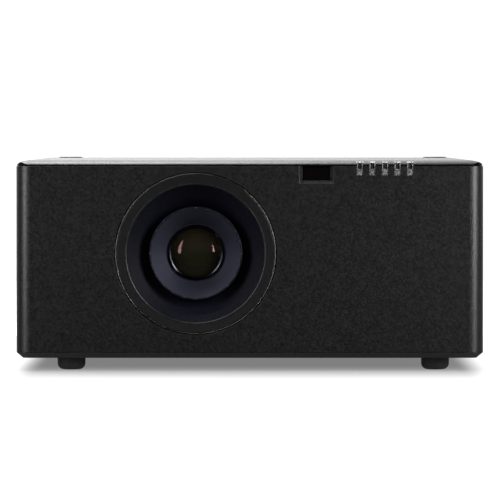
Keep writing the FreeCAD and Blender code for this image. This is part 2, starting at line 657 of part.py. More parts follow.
def drive_centre(angle):
    turn = math.radians(angle)
    return LENS_X + GEAR_CENTRES * math.cos(turn), LENS_Z + GEAR_CENTRES * math.sin(turn)


def tooth_points(teeth, index, phase):
    """Involute tooth as (angle, radius) points, from its root on one side to the other."""
    pitch = GEAR_MODULE * teeth / 2
    base = pitch * math.cos(math.radians(20))
    root = pitch - 1.2 * GEAR_MODULE
    tip = pitch + 0.95 * GEAR_MODULE

    def half(radius):
        flank = math.acos(min(1.0, base / max(radius, base)))
        work = math.radians(20)
        bend = (math.tan(work) - work) - (math.tan(flank) - flank)
        return (math.pi / 2) / teeth - BACKLASH / (2 * pitch) + bend

    radii = [root, max(base, root + 0.1), pitch, tip]
    middle = phase + 2 * math.pi * index / teeth
    rising = [(middle - half(radius), radius) for radius in radii]
    falling = [(middle + half(radius), radius) for radius in reversed(radii)]
    return rising + falling


def gear_points(centre, y, polar):
    return [Vector(centre[0] + radius * math.cos(angle), y, centre[1] + radius * math.sin(angle))
            for angle, radius in polar]


def prism(points, length):
    face = Part.Face(Part.makePolygon(points + points[:1]))
    return face.extrude(Vector(0, length, 0))


def drive_ring(y, angle):
    """Ring that runs on the barrel, with a toothed sector that meets its pinion."""
    sleeve = tube((LENS_X, y[0], LENS_Z), AXIS_Y, RING_OUTER, BARREL + RUN, y[1] - y[0])
    sector = RING_TRAVEL + 8.0
    step = 360.0 / RING_TEETH
    reach = int(sector / step)
    polar = []
    for index in range(-reach, reach + 1):
        polar += tooth_points(RING_TEETH, index, math.radians(angle))
    inner = [(math.radians(angle + sector - 4.0 * i), RING_OUTER - 2) for i in range(int(sector / 2) + 1)]
    teeth = prism(gear_points((LENS_X, LENS_Z), y[0] + 1, polar + inner), y[1] - y[0] - 2)
    grooves = [rod((LENS_X + RING_OUTER * math.cos(math.radians(angle + 180 + side * 12)), y[0] - 1,
                    LENS_Z + RING_OUTER * math.sin(math.radians(angle + 180 + side * 12))),
                   AXIS_Y, 1.5, y[1] - y[0] + 2) for side in range(-6, 7)]
    return less(fused([sleeve, teeth]), grooves)


def pinion(y, angle, shaft_to):
    """Pinion with its own shaft, which runs in the gear motor."""
    centre = drive_centre(angle)
    phase = math.radians(angle + 180) + math.pi / PINION_TEETH
    polar = []
    for index in range(PINION_TEETH):
        polar += tooth_points(PINION_TEETH, index, phase)
    wheel = prism(gear_points(centre, y[0], polar), y[1] - y[0])
    low = min(y[0], shaft_to)
    shaft = rod((centre[0], low, centre[1]), AXIS_Y, PINION_SHAFT, max(y[1], shaft_to) - low)
    return fused([wheel, shaft])


def gear_motor(y, angle, shaft_side):
    """Small gear motor: a can with a stepped gearbox and the pinion's bore."""
    centre = drive_centre(angle)
    can = rod((centre[0], y[0], centre[1]), AXIS_Y, MOTOR_RADIUS, y[1] - y[0])
    ends = [edge for edge in can.Edges if edge.BoundBox.YLength < 0.01]
    can = can.makeFillet(0.8, ends)
    start = y[0] - 1 if shaft_side < 0 else y[1] - 14
    bore = rod((centre[0], start, centre[1]), AXIS_Y, PINION_SHAFT + RUN, 15)
    return can.cut(bore)


def motor_lug(y, angle):
    """Arm on the barrel that carries a gear motor."""
    centre = drive_centre(angle)
    disc = rod((centre[0], y[0], centre[1]), AXIS_Y, MOTOR_RADIUS, y[1] - y[0])
    arm = box((LENS_X + BARREL - 1.5, LENS_X + GEAR_CENTRES), y, (LENS_Z - 7, LENS_Z + 7))
    arm.rotate(Vector(LENS_X, 0, LENS_Z), AXIS_Y, -angle)
    hole = rod((centre[0], y[0] - 1, centre[1]), AXIS_Y, PINION_SHAFT + 0.5, y[1] - y[0] + 2)
    return fused([disc, arm]).cut(hole)


def lens_barrel():
    tube_part = lens_turned([
        (BARREL, BARREL_BACK), (BARREL, BARREL_FRONT + 0.8), (BARREL - 0.8, BARREL_FRONT),
        (41.6, BARREL_FRONT), (27.6, -215.5), (27.6, -214), (26.1, -214), (26.1, -203),
        (24.5, -203), (24.5, -200), (BORE, -200), (BORE, BARREL_BACK)])
    return fused([tube_part, motor_lug(FOCUS_LUG, FOCUS_ANGLE), motor_lug(ZOOM_LUG, ZOOM_ANGLE)])


def lens_disc(radius, front, back, curve):
    """Plano-convex glass, bulging towards the front."""
    blank = rod((LENS_X, front, LENS_Z), AXIS_Y, radius, back - front)
    ball = Part.makeSphere(curve, Vector(LENS_X, front + curve, LENS_Z))
    return blank.common(ball)


def lens_group(middle, radius, length):
    """A cell that slides in the barrel's bore, with its glass cemented in."""
    cell = tube((LENS_X, middle - length / 2, LENS_Z), AXIS_Y, BORE - RUN, radius, length)
    glass = lens_disc(radius, middle - length / 2 + 1, middle + length / 2 - 2, 60)
    return fused([cell, glass])


def lens_shroud():
    """Funnel that hides the mechanism round the barrel and moves with it."""
    front = BARREL_FRONT - 6.6
    collar = -219.0
    return lens_turned([
        (BARREL, collar), (BARREL, collar - 2), (BARREL + 1.1, collar - 2), (BARREL + 1.1, collar - 6),
        (69.0, front), (70.5, front), (70.5, front + 1.2), (46.2, collar - 4.6), (46.2, collar)])


FOCUS_LUG = (FOCUS_Y[1] + 2, FOCUS_Y[1] + 5)
ZOOM_LUG = (ZOOM_Y[0] - 5, ZOOM_Y[0] - 2)
FOCUS_MOTOR_Y = (FOCUS_LUG[1], FOCUS_LUG[1] + 22)
ZOOM_MOTOR_Y = (ZOOM_LUG[0] - 22, ZOOM_LUG[0])

save("lens_barrel", lens_barrel())
save("front_element", lens_disc(26.0, FRONT_GLASS_Y, -203.2, FRONT_GLASS_CURVE))
save("focus_group", lens_group(FOCUS_GROUP_Y, 24.0, 12))
save("zoom_group", lens_group(ZOOM_GROUP_Y, 22.0, 16))
save("lens_shroud", lens_shroud())
save("focus_ring", drive_ring(FOCUS_Y, FOCUS_ANGLE))
save("zoom_ring", drive_ring(ZOOM_Y, ZOOM_ANGLE))
save("focus_pinion", pinion((FOCUS_Y[0] + 1, FOCUS_Y[1] - 0.5), FOCUS_ANGLE, FOCUS_MOTOR_Y[0] + 10))
save("zoom_pinion", pinion((ZOOM_Y[0] + 0.5, ZOOM_Y[1] - 1), ZOOM_ANGLE, ZOOM_MOTOR_Y[1] - 10))
save("focus_motor", gear_motor(FOCUS_MOTOR_Y, FOCUS_ANGLE, -1))
save("zoom_motor", gear_motor(ZOOM_MOTOR_Y, ZOOM_ANGLE, 1))

# ---- lens shift ------------------------------------------------------------------------
ENGINE_X = (LENS_X - 65, LENS_X + 65)
ENGINE_Y = (-112.0, -10.0)
ENGINE_Z = (45.0, 172.0)
FRAME_Y = (ENGINE_Y[0] - 8, ENGINE_Y[0] - SLIDE_GAP)
FRAME_X = (LENS_X - 56, LENS_X + 56)
FRAME_Z = (LENS_Z - 55.5, LENS_Z + 55.5)
CARRIAGE_Y = (BARREL_BACK, FRAME_Y[0] - SLIDE_GAP)
CARRIAGE_X = (LENS_X - 45, LENS_X + 45)
CARRIAGE_Z = (LENS_Z - 50.5, LENS_Z + 50.5)
LIP = 4.7                # overlap of a guide's lip on the plate that slides under it
SCREW_V = (LENS_X + 78, -129.0)
SCREW_V_RADIUS = 2.5
SCREW_H = (-140.0, 54.0)
SCREW_H_RADIUS = 2.0


def shift_frame():
    """Plate that slides up and down, with the guides for the carriage and a nut lug."""
    plate = box(FRAME_X, FRAME_Y, FRAME_Z)
    lip_y = (CARRIAGE_Y[0] - 4, CARRIAGE_Y[0] - SLIDE_GAP)
    parts = [plate]
    for side in (-1, 1):
        edge = LENS_Z + side * (50.5 + SLIDE_GAP)
        outer = LENS_Z + side * 55.5
        inner = LENS_Z + side * (50.5 - LIP + 1)
        spine = (min(edge, outer), max(edge, outer))
        lip = (min(inner, outer), max(inner, outer))
        parts.append(box((CARRIAGE_X[0] - 3, CARRIAGE_X[1] + 3), (lip_y[0], FRAME_Y[0]), spine))
        parts.append(box((CARRIAGE_X[0] - 3, CARRIAGE_X[1] + 3), lip_y, lip))
    parts.append(box((CARRIAGE_X[1] - 2, SCREW_V[0] + 7), (-135.0, lip_y[1]), (158.0, FRAME_Z[1])))
    throat = rod((LENS_X, FRAME_Y[0] - 1, LENS_Z), AXIS_Y, 36, 12)
    nut = rod((SCREW_V[0], SCREW_V[1], 150.0), AXIS_Z, SCREW_V_RADIUS + RUN, 20)
    return less(fused(parts), [throat, nut])


def lens_carriage():
    """Plate that slides sideways in the frame and carries the barrel."""
    plate = box(CARRIAGE_X, CARRIAGE_Y, CARRIAGE_Z)
    low = SCREW_H[1] - 5
    bridge = box((LENS_X - 45, LENS_X - 31), (CARRIAGE_Y[0] - 5, CARRIAGE_Y[0]), (63.4, 72.0))
    block = box((LENS_X - 45, LENS_X - 31), (SCREW_H[0] - 5, CARRIAGE_Y[0] - 4.4), (low, 72.0))
    throat = rod((LENS_X, CARRIAGE_Y[0] - 1, LENS_Z), AXIS_Y, BORE, 10)
    nut = rod((LENS_X - 50, SCREW_H[0], SCREW_H[1]), AXIS_X, SCREW_H_RADIUS + RUN, 24)
    return less(fused([plate, bridge, block]), [throat, nut])


def lead_screw(start, axis, radius, length):
    """Lead screw with a slotted end; its fine thread is left plain."""
    shaft = rod(start, axis, radius, length)
    end = Vector(*start) + axis * length
    across = AXIS_Y * radius
    corner = end - across - axis * 1.2 - (AXIS_X + AXIS_Z - axis) * 0.4
    slot = Part.makeBox(0.8 if axis.x == 0 else 2, 2 * radius, 0.8 if axis.z == 0 else 2, corner)
    return shaft.cut(slot)


def motor_can(start, axis, radius, length, bore):
    can = rod(start, axis, radius, length)
    ends = [edge for edge in can.Edges if edge.Length > radius * 6]
    can = can.makeFillet(0.8, ends)
    return can.cut(rod(Vector(*start) - axis, axis, bore, length + 2))


MOTOR_V_Z = (104.0, 140.0)
MOTOR_H_X = (LENS_X + 2, LENS_X + 32)
save("shift_frame", shift_frame())
save("lens_carriage", lens_carriage())
save("shift_screw_v", lead_screw((SCREW_V[0], SCREW_V[1], MOTOR_V_Z[0] + 6), AXIS_Z, SCREW_V_RADIUS, 66))
save("shift_motor_v", motor_can((SCREW_V[0], SCREW_V[1], MOTOR_V_Z[0]), AXIS_Z, 10.5,
                                MOTOR_V_Z[1] - MOTOR_V_Z[0], SCREW_V_RADIUS + RUN))
save("shift_screw_h", lead_screw((LENS_X - 52, SCREW_H[0], SCREW_H[1]), AXIS_X, SCREW_H_RADIUS, 76))
save("shift_motor_h", motor_can((MOTOR_H_X[0], SCREW_H[0], SCREW_H[1]), AXIS_X, 8.5,
                                MOTOR_H_X[1] - MOTOR_H_X[0], SCREW_H_RADIUS + RUN))

# ---- optical engine --------------------------------------------------------------------
BEAM_Y = -60.0
BEAM_Z = LENS_Z
CASE = 4.0
TUNNEL_X = (ENGINE_X[1] + 5, 78.0)
WHEEL_X = 86.0
WHEEL_RADIUS = 28.0
WHEEL_Z = BEAM_Z - 21


def engine_housing():
    """Cast box that stands on four legs and holds the frame's upright guides."""
    shell = box(ENGINE_X, ENGINE_Y, ENGINE_Z)
    inside = box((ENGINE_X[0] + CASE, ENGINE_X[1] - CASE), (ENGINE_Y[0] + CASE, ENGINE_Y[1] - CASE),
                 (ENGINE_Z[0] + CASE, ENGINE_Z[1] - CASE))
    parts = [shell.cut(inside)]
    for x in (ENGINE_X[0] + 8, ENGINE_X[1] - 8):
        for y in (ENGINE_Y[0] + 8, ENGINE_Y[1] - 8):
            parts.append(rod((x, y, Z_FLOOR), AXIS_Z, 6, ENGINE_Z[0] - Z_FLOOR))
    guide_y = (FRAME_Y[0] - SLIDE_GAP - 3.5, ENGINE_Y[0])
    lip_y = (guide_y[0], FRAME_Y[0] - SLIDE_GAP)
    for side in (-1, 1):
        outer = LENS_X + side * 65
        near = LENS_X + side * (56 + SLIDE_GAP)
        lip = LENS_X + side * 52
        parts.append(box((min(outer, near), max(outer, near)), guide_y, ENGINE_Z))
        parts.append(box((min(outer, lip), max(outer, lip)), lip_y, ENGINE_Z))
    parts.append(box((ENGINE_X[1] - 1, SCREW_V[0] + 9), (-118.3, ENGINE_Y[0]), (MOTOR_V_Z[0], MOTOR_V_Z[1])))
    front = rod((LENS_X, ENGINE_Y[0] - 1, LENS_Z), AXIS_Y, 34, 8)
    port = rod((ENGINE_X[1] - CASE - 1, BEAM_Y, BEAM_Z), AXIS_X, 14, 8)
    back = box((LENS_X - 16, LENS_X + 16), (ENGINE_Y[1] - CASE - 1, ENGINE_Y[1] + 1),
               (LENS_Z - 14, LENS_Z + 14))
    return less(fused(parts), [front, port, back])


def tir_prism():
    """Two right-angle prisms with a thin air gap between them."""
    half = 19.0
    y = (-58.0, -58.0 + 2 * half)
    lower = [Vector(LENS_X - half, y[0], LENS_Z - half), Vector(LENS_X + half - 0.3, y[0], LENS_Z - half),
             Vector(LENS_X - half, y[1] - 0.3, LENS_Z - half)]
    upper = [Vector(LENS_X + half, y[1], LENS_Z - half), Vector(LENS_X - half + 0.3, y[1], LENS_Z - half),
             Vector(LENS_X + half, y[0] + 0.3, LENS_Z - half)]
    prisms = []
    for points in (lower, upper):
        face = Part.Face(Part.makePolygon(points + points[:1]))
        prisms.append(face.extrude(Vector(0, 0, 2 * half)))
    return prisms


def imaging_board():
    board = box((LENS_X - 50, LENS_X + 50), (ENGINE_Y[1] + 1, ENGINE_Y[1] + 3), (LENS_Z - 42, LENS_Z + 42))
    chip = box((LENS_X - 15, LENS_X + 15), (ENGINE_Y[1] - 2, ENGINE_Y[1] + 1), (LENS_Z - 13, LENS_Z + 13))
    return fused([board, chip])


def imaging_heatsink():
    base = box((LENS_X - 30, LENS_X + 30), (ENGINE_Y[1] + 3.2, ENGINE_Y[1] + 9), (LENS_Z - 30, LENS_Z + 30))
    fins = slots((LENS_X - 30, LENS_X - 28), (ENGINE_Y[1] + 9, ENGINE_Y[1] + 39),
                 (LENS_Z - 30, LENS_Z + 30), 13, (4.83, 0, 0))
    return fused([base] + fins)


def light_tunnel():
    """Square tube of four mirrors in a round-footed holder."""
    hollow = box((TUNNEL_X[0] - 1, TUNNEL_X[1] + 1), (BEAM_Y - 4, BEAM_Y + 4), (BEAM_Z - 4, BEAM_Z + 4))
    body = box(TUNNEL_X, (BEAM_Y - 6, BEAM_Y + 6), (BEAM_Z - 6, BEAM_Z + 6))
    stand = box((40, 52), (BEAM_Y - 9, BEAM_Y + 9), (Z_FLOOR, BEAM_Z + 9))
    return fused([body, stand]).cut(hollow)


def colour_wheel():
    """Glass segment disc on its hub."""
    disc = tube((WHEEL_X, BEAM_Y, WHEEL_Z), AXIS_X, WHEEL_RADIUS, 11, 1.1)
    hub = rod((WHEEL_X - 2, BEAM_Y, WHEEL_Z), AXIS_X, 11.5, 2.5)
    shaft = rod((WHEEL_X, BEAM_Y, WHEEL_Z), AXIS_X, 1.5, 14)
    return fused([disc, hub, shaft])


def colour_wheel_motor():
    can = rod((WHEEL_X + 2, BEAM_Y, WHEEL_Z), AXIS_X, 9, 14)
    can = can.cut(rod((WHEEL_X + 1, BEAM_Y, WHEEL_Z), AXIS_X, 1.5 + RUN, 14))
    stand = box((WHEEL_X + 8, WHEEL_X + 12), (BEAM_Y - 14, BEAM_Y + 14), (Z_FLOOR, WHEEL_Z - 4))
    foot_plate = box((WHEEL_X + 2, WHEEL_X + 18), (BEAM_Y - 14, BEAM_Y + 14), (Z_FLOOR, Z_FLOOR + 2))
    return fused([can, stand, foot_plate]).cut(rod((WHEEL_X + 1, BEAM_Y, WHEEL_Z), AXIS_X, 1.5 + RUN, 14))


save("engine_housing", engine_housing())
save("tir_prism", *tir_prism())
save("imaging_board", imaging_board())
save("imaging_heatsink", imaging_heatsink())
save("light_tunnel", light_tunnel())
save("colour_wheel", colour_wheel())
save("colour_wheel_motor", colour_wheel_motor())

# ---- lamp ------------------------------------------------------------------------------
LAMP_X = (112.0, 206.0)
LAMP_HALF = 46.0
REFLECTOR_MOUTH = 116.0
REFLECTOR_RADIUS = 38.0
REFLECTOR_DEPTH = 52.0


def lamp_housing():
    """Module that slides out through the lamp door, with a finger bar on its outer end."""
    y = (BEAM_Y - LAMP_HALF, BEAM_Y + LAMP_HALF)
    z = (BEAM_Z - LAMP_HALF, BEAM_Z + LAMP_HALF)
    shell = box(LAMP_X, y, z)
    inside = box((LAMP_X[0] - 1, LAMP_X[1] - 14), (y[0] + 2, y[1] - 2), (z[0] + 2, z[1] - 2))
    pull = box((LAMP_X[1] - 11, LAMP_X[1] - 4), (y[0] + 20, y[1] - 20), (z[0] - 1, z[1] + 1))
    grip = box((LAMP_X[1] - 12, LAMP_X[1] + 1), (y[0] + 24, y[1] - 24), (BEAM_Z - 18, BEAM_Z + 18))
    vents = slots((LAMP_X[0] + 10, LAMP_X[1] - 20), (y[0] - 1, y[1] + 1),
                  (z[0] + 14, z[0] + 18), 8, (0, 0, 8.5))
    legs = [box((x, x + 8), (y[0], y[1]), (Z_FLOOR, z[0])) for x in (LAMP_X[0] + 4, LAMP_X[1] - 16)]
    body = less(shell, [inside, grip] + vents)
    bar = box((LAMP_X[1] - 6, LAMP_X[1] - 1), (y[0] + 20, y[1] - 20), (BEAM_Z - 4, BEAM_Z + 4))
    return fused([body, bar] + legs)


def lamp_reflector():
    """Reflector bowl with the arc tube cemented into its neck."""
    vertex = REFLECTOR_MOUTH + REFLECTOR_DEPTH
    stations = [0.25 * REFLECTOR_RADIUS + 0.75 * REFLECTOR_RADIUS * i / 8 for i in range(9)]
    inner = [(radius, vertex - REFLECTOR_DEPTH * (radius / REFLECTOR_RADIUS) ** 2) for radius in stations]
    outer = [(radius + 3, height + 1.2) for radius, height in reversed(inner)]
    neck = [(9, vertex + 14), (5, vertex + 14), (5, vertex)]
    bowl = turned(inner + outer + neck, (0, BEAM_Y, BEAM_Z), AXIS_X)
    burner = turned([(0, vertex + 14), (5, vertex + 14), (5, vertex), (3, vertex - 4), (3, vertex - 14),
                     (6, vertex - 20), (3, vertex - 26), (3, vertex - 38), (0, vertex - 38)],
                    (0, BEAM_Y, BEAM_Z), AXIS_X)
    return fused([bowl, burner])


save("lamp_housing", lamp_housing())
save("lamp_reflector", lamp_reflector())

# ---- power, electronics and cooling ----------------------------------------------------
SUPPLY_X = (-205.0, -142.0)
SUPPLY_Y = (-205.0, 10.0)
SUPPLY_Z = (Z_FLOOR, 112.0)
FAN_SIZE = 120.0
FAN_X = (184.0, 209.0)
FAN_BORE = 57.0


def power_supply():
    can = box(SUPPLY_X, SUPPLY_Y, SUPPLY_Z)
    inside = box((SUPPLY_X[0] + 1.5, SUPPLY_X[1] - 1.5), (SUPPLY_Y[0] + 1.5, SUPPLY_Y[1] - 1.5),
                 (SUPPLY_Z[0] + 1.5, SUPPLY_Z[1] - 1.5))
    vents = slots((SUPPLY_X[0] - 1, SUPPLY_X[0] + 2), (-190, -185), (40, 96), 20, (0, 9, 0))
    clear = box((SUPPLY_X[0] - 1, -152), (SUPPLY_Y[0] - 20, SUPPLY_Y[0] + 12), (0, 36))
    return less(can, [inside, clear] + vents)


def main_board():
    board = box((-130, 100), (-100, 215), (178, 179.6))
    chips = [box((x, x + w), (y, y + w), (179.6, 179.6 + h))
             for x, y, w, h in ((-90, -60, 30, 2.5), (-20, 20, 36, 3), (40, -40, 22, 2.2),
                                (-100, 90, 26, 2.4), (20, 120, 18, 2))]
    caps = [rod((70, 60 + 16 * index, 179.6), AXIS_Z, 5, 8) for index in range(6)]
    return fused([board] + chips + caps)


def exhaust_fan_frame():
    half = FAN_SIZE / 2
    frame = box(FAN_X, (FAN_Y - half, FAN_Y + half), (FAN_Z - half, FAN_Z + half))
    bore = rod((FAN_X[0] - 1, FAN_Y, FAN_Z), AXIS_X, FAN_BORE, 30)
    corners = [rod((FAN_X[0] - 1, FAN_Y + sy * 52.5, FAN_Z + sz * 52.5), AXIS_X, 2.2, 30)
               for sy in (-1, 1) for sz in (-1, 1)]
    frame = less(frame, [bore] + corners)
    parts = [frame, rod((FAN_X[0], FAN_Y, FAN_Z), AXIS_X, 21, 3)]
    for index in range(4):
        strut = box((FAN_X[0], FAN_X[0] + 3), (FAN_Y + 15, FAN_Y + FAN_BORE + 1), (FAN_Z - 2, FAN_Z + 2))
        strut.rotate(Vector(0, FAN_Y, FAN_Z), AXIS_X, 45 + 90 * index)
        parts.append(strut)
    stand = box((FAN_X[0], FAN_X[1]), (FAN_Y - half, FAN_Y + half), (Z_FLOOR, FAN_Z - half))
    parts.append(stand.cut(box((FAN_X[0] - 1, FAN_X[1] + 1), (FAN_Y - half + 6, FAN_Y + half - 6), (0, 32))))
    bearing = rod((FAN_X[0] - 1, FAN_Y, FAN_Z), AXIS_X, 2 + RUN, 6)
    return fused(parts).cut(bearing)


def exhaust_fan_rotor():
    hub = rod((FAN_X[0] + 4, FAN_Y, FAN_Z), AXIS_X, 22, 18)
    shaft = rod((FAN_X[0] + 0.5, FAN_Y, FAN_Z), AXIS_X, 2, 4)
    ring = tube((FAN_X[0] + 4, FAN_Y, FAN_Z), AXIS_X, 55, 20, 18)
    blades = []
    for index in range(7):
        blade = box((FAN_X[0] - 8, FAN_X[0] + 34), (FAN_Y - 1.1, FAN_Y + 1.1), (FAN_Z + 18, FAN_Z + 56))
        blade.rotate(Vector(FAN_X[0] + 13, FAN_Y, FAN_Z), AXIS_Z, 48)
        blade.rotate(Vector(0, FAN_Y, FAN_Z), AXIS_X, 360 / 7 * index)
        blades.append(blade.common(ring))
    return fused([hub, shaft] + blades)


save("power_supply", power_supply())
save("main_board", main_board())
save("exhaust_fan_frame", exhaust_fan_frame())
save("exhaust_fan_rotor", exhaust_fan_rotor())
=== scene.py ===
import json
import math

import bmesh
import bpy
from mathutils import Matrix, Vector


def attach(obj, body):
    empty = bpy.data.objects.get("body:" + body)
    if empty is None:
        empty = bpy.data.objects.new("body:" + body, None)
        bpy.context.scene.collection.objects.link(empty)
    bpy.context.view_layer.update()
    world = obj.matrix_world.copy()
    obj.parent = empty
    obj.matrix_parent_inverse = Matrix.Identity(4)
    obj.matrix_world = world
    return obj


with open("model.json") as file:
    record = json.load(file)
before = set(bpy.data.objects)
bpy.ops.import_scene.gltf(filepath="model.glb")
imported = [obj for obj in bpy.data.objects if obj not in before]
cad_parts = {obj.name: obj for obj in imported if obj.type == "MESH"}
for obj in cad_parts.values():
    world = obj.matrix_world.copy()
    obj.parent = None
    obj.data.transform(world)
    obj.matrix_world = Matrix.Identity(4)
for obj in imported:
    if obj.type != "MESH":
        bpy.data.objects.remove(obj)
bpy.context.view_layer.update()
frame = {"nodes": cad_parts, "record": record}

NODES = frame["nodes"]

# ---- places on the object, metres, in the frame's own axes -------------------------------
FRONT = -0.254
BACK = 0.254
LENS = (-0.050, 0.1085)                  # x, z of the lens axis
LID_FRONT = FRONT + 0.0007
LID_EDGE = 0.005                         # height of the lid's crowned edge
LID_CROWN = 0.016                        # and its width
LID_TOP = 0.195
PIPE_XS = [0.1016 + 0.01162 * index for index in range(5)]
MARK_Z = (0.19225, 0.19355)              # the marks above the lights
IR_X = (0.0487, 0.0745)
IR_LOW = 0.1761
RECESS_X = (-0.190, 0.040)
RECESS_Z = (0.030, 0.112)
RECESS_FLOOR = BACK - 0.012
BNC_XS = [-0.170 + 0.019 * index for index in range(5)]
BNC_Z = 0.090
SOCKET_Z = 0.052
D_SOCKET_XS = (-0.160, -0.118, 0.014)
HDMI_XS = (-0.078, -0.052)
LAN_X = -0.022
INLET_X = 0.137
ROCKER = (0.172, 0.055)
KEY_CENTRE = (0.070, 0.150)
KEY_STEP = 0.017
KEY_FACE = BACK - 0.0004
KEYS = {"enter": (0, 0), "up": (0, 1), "down": (0, -1), "left": (1, 0), "right": (-1, 0), "power": (-2.6, 0)}


# ---- shader graphs -----------------------------------------------------------------------
class Graph:
    """A material with a principled shader and short calls for the nodes that feed it."""

    def __init__(self, name, base, rough, **fixed):
        self.material = bpy.data.materials.new(name)
        self.material.use_nodes = True
        self.tree = self.material.node_tree
        self.tree.nodes.clear()
        self.shader = self.tree.nodes.new("ShaderNodeBsdfPrincipled")
        out = self.tree.nodes.new("ShaderNodeOutputMaterial")
        self.tree.links.new(self.shader.outputs["BSDF"], out.inputs["Surface"])
        self.place = self.tree.nodes.new("ShaderNodeTexCoord").outputs["Object"]
        self.put("Base Color", (*base, 1.0))
        self.put("Roughness", rough)
        for key, value in fixed.items():
            self.put(key.replace("_", " ").replace("Ior", "IOR"), value)

    def put(self, socket, value):
        target = self.shader.inputs[socket]
        if isinstance(value, bpy.types.NodeSocket):
            self.tree.links.new(value, target)
        else:
            target.default_value = value

    def node(self, kind, inputs=None, **settings):
        made = self.tree.nodes.new(kind)
        for key, value in settings.items():
            setattr(made, key, value)
        for key, value in (inputs or {}).items():
            if isinstance(value, bpy.types.NodeSocket):
                self.tree.links.new(value, made.inputs[key])
            else:
                made.inputs[key].default_value = value
        return made

    def math(self, operation, a, b=0.0, clamp=False):
        return self.node("ShaderNodeMath", {0: a, 1: b}, operation=operation, use_clamp=clamp).outputs[0]

    def span(self, value, low, high, to_low=0.0, to_high=1.0):
        """value mapped from low..high to to_low..to_high, held at the ends."""
        keys = {"Value": value, "From Min": low, "From Max": high, "To Min": to_low, "To Max": to_high}
        return self.node("ShaderNodeMapRange", keys).outputs["Result"]

    def stretched(self, scale):
        return self.node("ShaderNodeMapping", {"Vector": self.place, "Scale": scale}).outputs["Vector"]

    def noise(self, scale, detail=2.0, rough=0.5, place=None):
        keys = {"Vector": place or self.place, "Scale": scale, "Detail": detail, "Roughness": rough}
        return self.node("ShaderNodeTexNoise", keys).outputs["Fac"]

    def cells(self, scale, feature="F1", place=None):
        keys = {"Vector": place or self.place, "Scale": scale}
        return self.node("ShaderNodeTexVoronoi", keys, feature=feature).outputs["Distance"]

    def blend(self, factor, a, b):
        keys = {"Factor": factor, 6: a, 7: b}
        return self.node("ShaderNodeMix", keys, data_type="RGBA").outputs[2]

    def shade(self, colour, factor, low, high):
        """colour multiplied by a grey that goes from low to high with factor."""
        grey = self.span(factor, 0.0, 1.0, low, high)
        tone = self.node("ShaderNodeCombineColor", {0: grey, 1: grey, 2: grey}).outputs[0]
        keys = {"Factor": 1.0, 6: colour, 7: tone}
        return self.node("ShaderNodeMix", keys, data_type="RGBA", blend_type="MULTIPLY").outputs[2]

    def bump(self, height, strength, distance, under=None):
        keys = {"Height": height, "Strength": strength, "Distance": distance}
        if under is not None:
            keys["Normal"] = under
        return self.node("ShaderNodeBump", keys).outputs["Normal"]

    def axes(self):
        return self.node("ShaderNodeSeparateXYZ", {"Vector": self.place}).outputs

    def off_axis(self):
        """Distance from the lens axis."""
        x, _, z = self.axes()
        across = self.math("SUBTRACT", x, LENS[0])
        up = self.math("SUBTRACT", z, LENS[1])
        return self.math("SQRT", self.math("ADD", self.math("MULTIPLY", across, across),
                                           self.math("MULTIPLY", up, up)))

    def edges(self, radius):
        """1 on convex and concave edges, 0 on flats."""
        soft = self.node("ShaderNodeBevel", {"Radius": radius}, samples=4).outputs["Normal"]
        hard = self.node("ShaderNodeNewGeometry").outputs["Normal"]
        keys = {0: soft, 1: hard}
        dot = self.node("ShaderNodeVectorMath", keys, operation="DOT_PRODUCT").outputs["Value"]
        return self.span(dot, 0.97, 0.80), soft


def moulded(name, base, rough, grain=1400.0, depth=0.00016, tone=0.10, wear=1.6, edge=0.0006, **fixed):
    """Moulded plastic: fine spark grain, slow colour drift, faint rub marks and polished edges."""
    g = Graph(name, base, rough, **fixed)
    drift = g.noise(6.0, 3.0)
    cloud = g.noise(240.0, 4.0, 0.6)
    fine = g.noise(grain, 3.0, 0.65)
    coarse = g.noise(grain * 0.35, 3.0, 0.6)
    pits = g.cells(grain * 0.8)
    worn, soft = g.edges(edge)
    patchy = g.math("MULTIPLY", worn, g.span(g.noise(160.0, 4.0), 0.35, 0.7))
    colour = g.shade((*base, 1.0), drift, 1.0 - tone, 1.0 + tone)
    colour = g.shade(colour, g.span(cloud, 0.3, 0.7), 0.86, 1.14)
    colour = g.shade(colour, g.span(fine, 0.3, 0.7), 0.6, 1.4)
    colour = g.shade(colour, g.span(coarse, 0.3, 0.7), 0.6, 1.4)
    colour = g.blend(patchy, colour, (*[channel * wear + 0.004 for channel in base], 1.0))
    g.put("Base Color", colour)
    mottled = g.span(g.noise(90.0, 5.0, 0.7), 0.3, 0.75, rough - 0.02, rough + 0.03)
    mottled = g.math("ADD", mottled, g.span(coarse, 0.3, 0.7, -0.06, 0.06))
    g.put("Roughness", g.math("SUBTRACT", mottled, g.math("MULTIPLY", patchy, 0.06)))
    height = g.math("ADD", g.math("ADD", fine, coarse), g.math("MULTIPLY", pits, 0.5))
    g.put("Normal", g.bump(height, 0.5, depth, soft))
    return g.material


def powder_coat(name, base):
    """Sheet metal with a fine orange-peel coat, rubbed through a little on its edges."""
    g = Graph(name, base, 0.5, Specular_Ior_Level=0.3)
    peel = g.noise(520.0, 2.0, 0.4)
    fine = g.noise(1900.0, 2.0)
    worn, soft = g.edges(0.0008)
    patchy = g.math("MULTIPLY", worn, g.span(g.noise(90.0, 5.0, 0.7), 0.48, 0.66))
    colour = g.shade((*base, 1.0), g.noise(14.0, 4.0), 0.8, 1.2)
    g.put("Base Color", g.blend(patchy, colour, (0.11, 0.11, 0.115, 1.0)))
    g.put("Metallic", g.math("MULTIPLY", patchy, 0.8))
    g.put("Roughness", g.span(peel, 0.3, 0.7, 0.44, 0.58))
    g.put("Normal", g.bump(g.math("ADD", peel, g.math("MULTIPLY", fine, 0.4)), 0.5, 0.00018, soft))
    return g.material


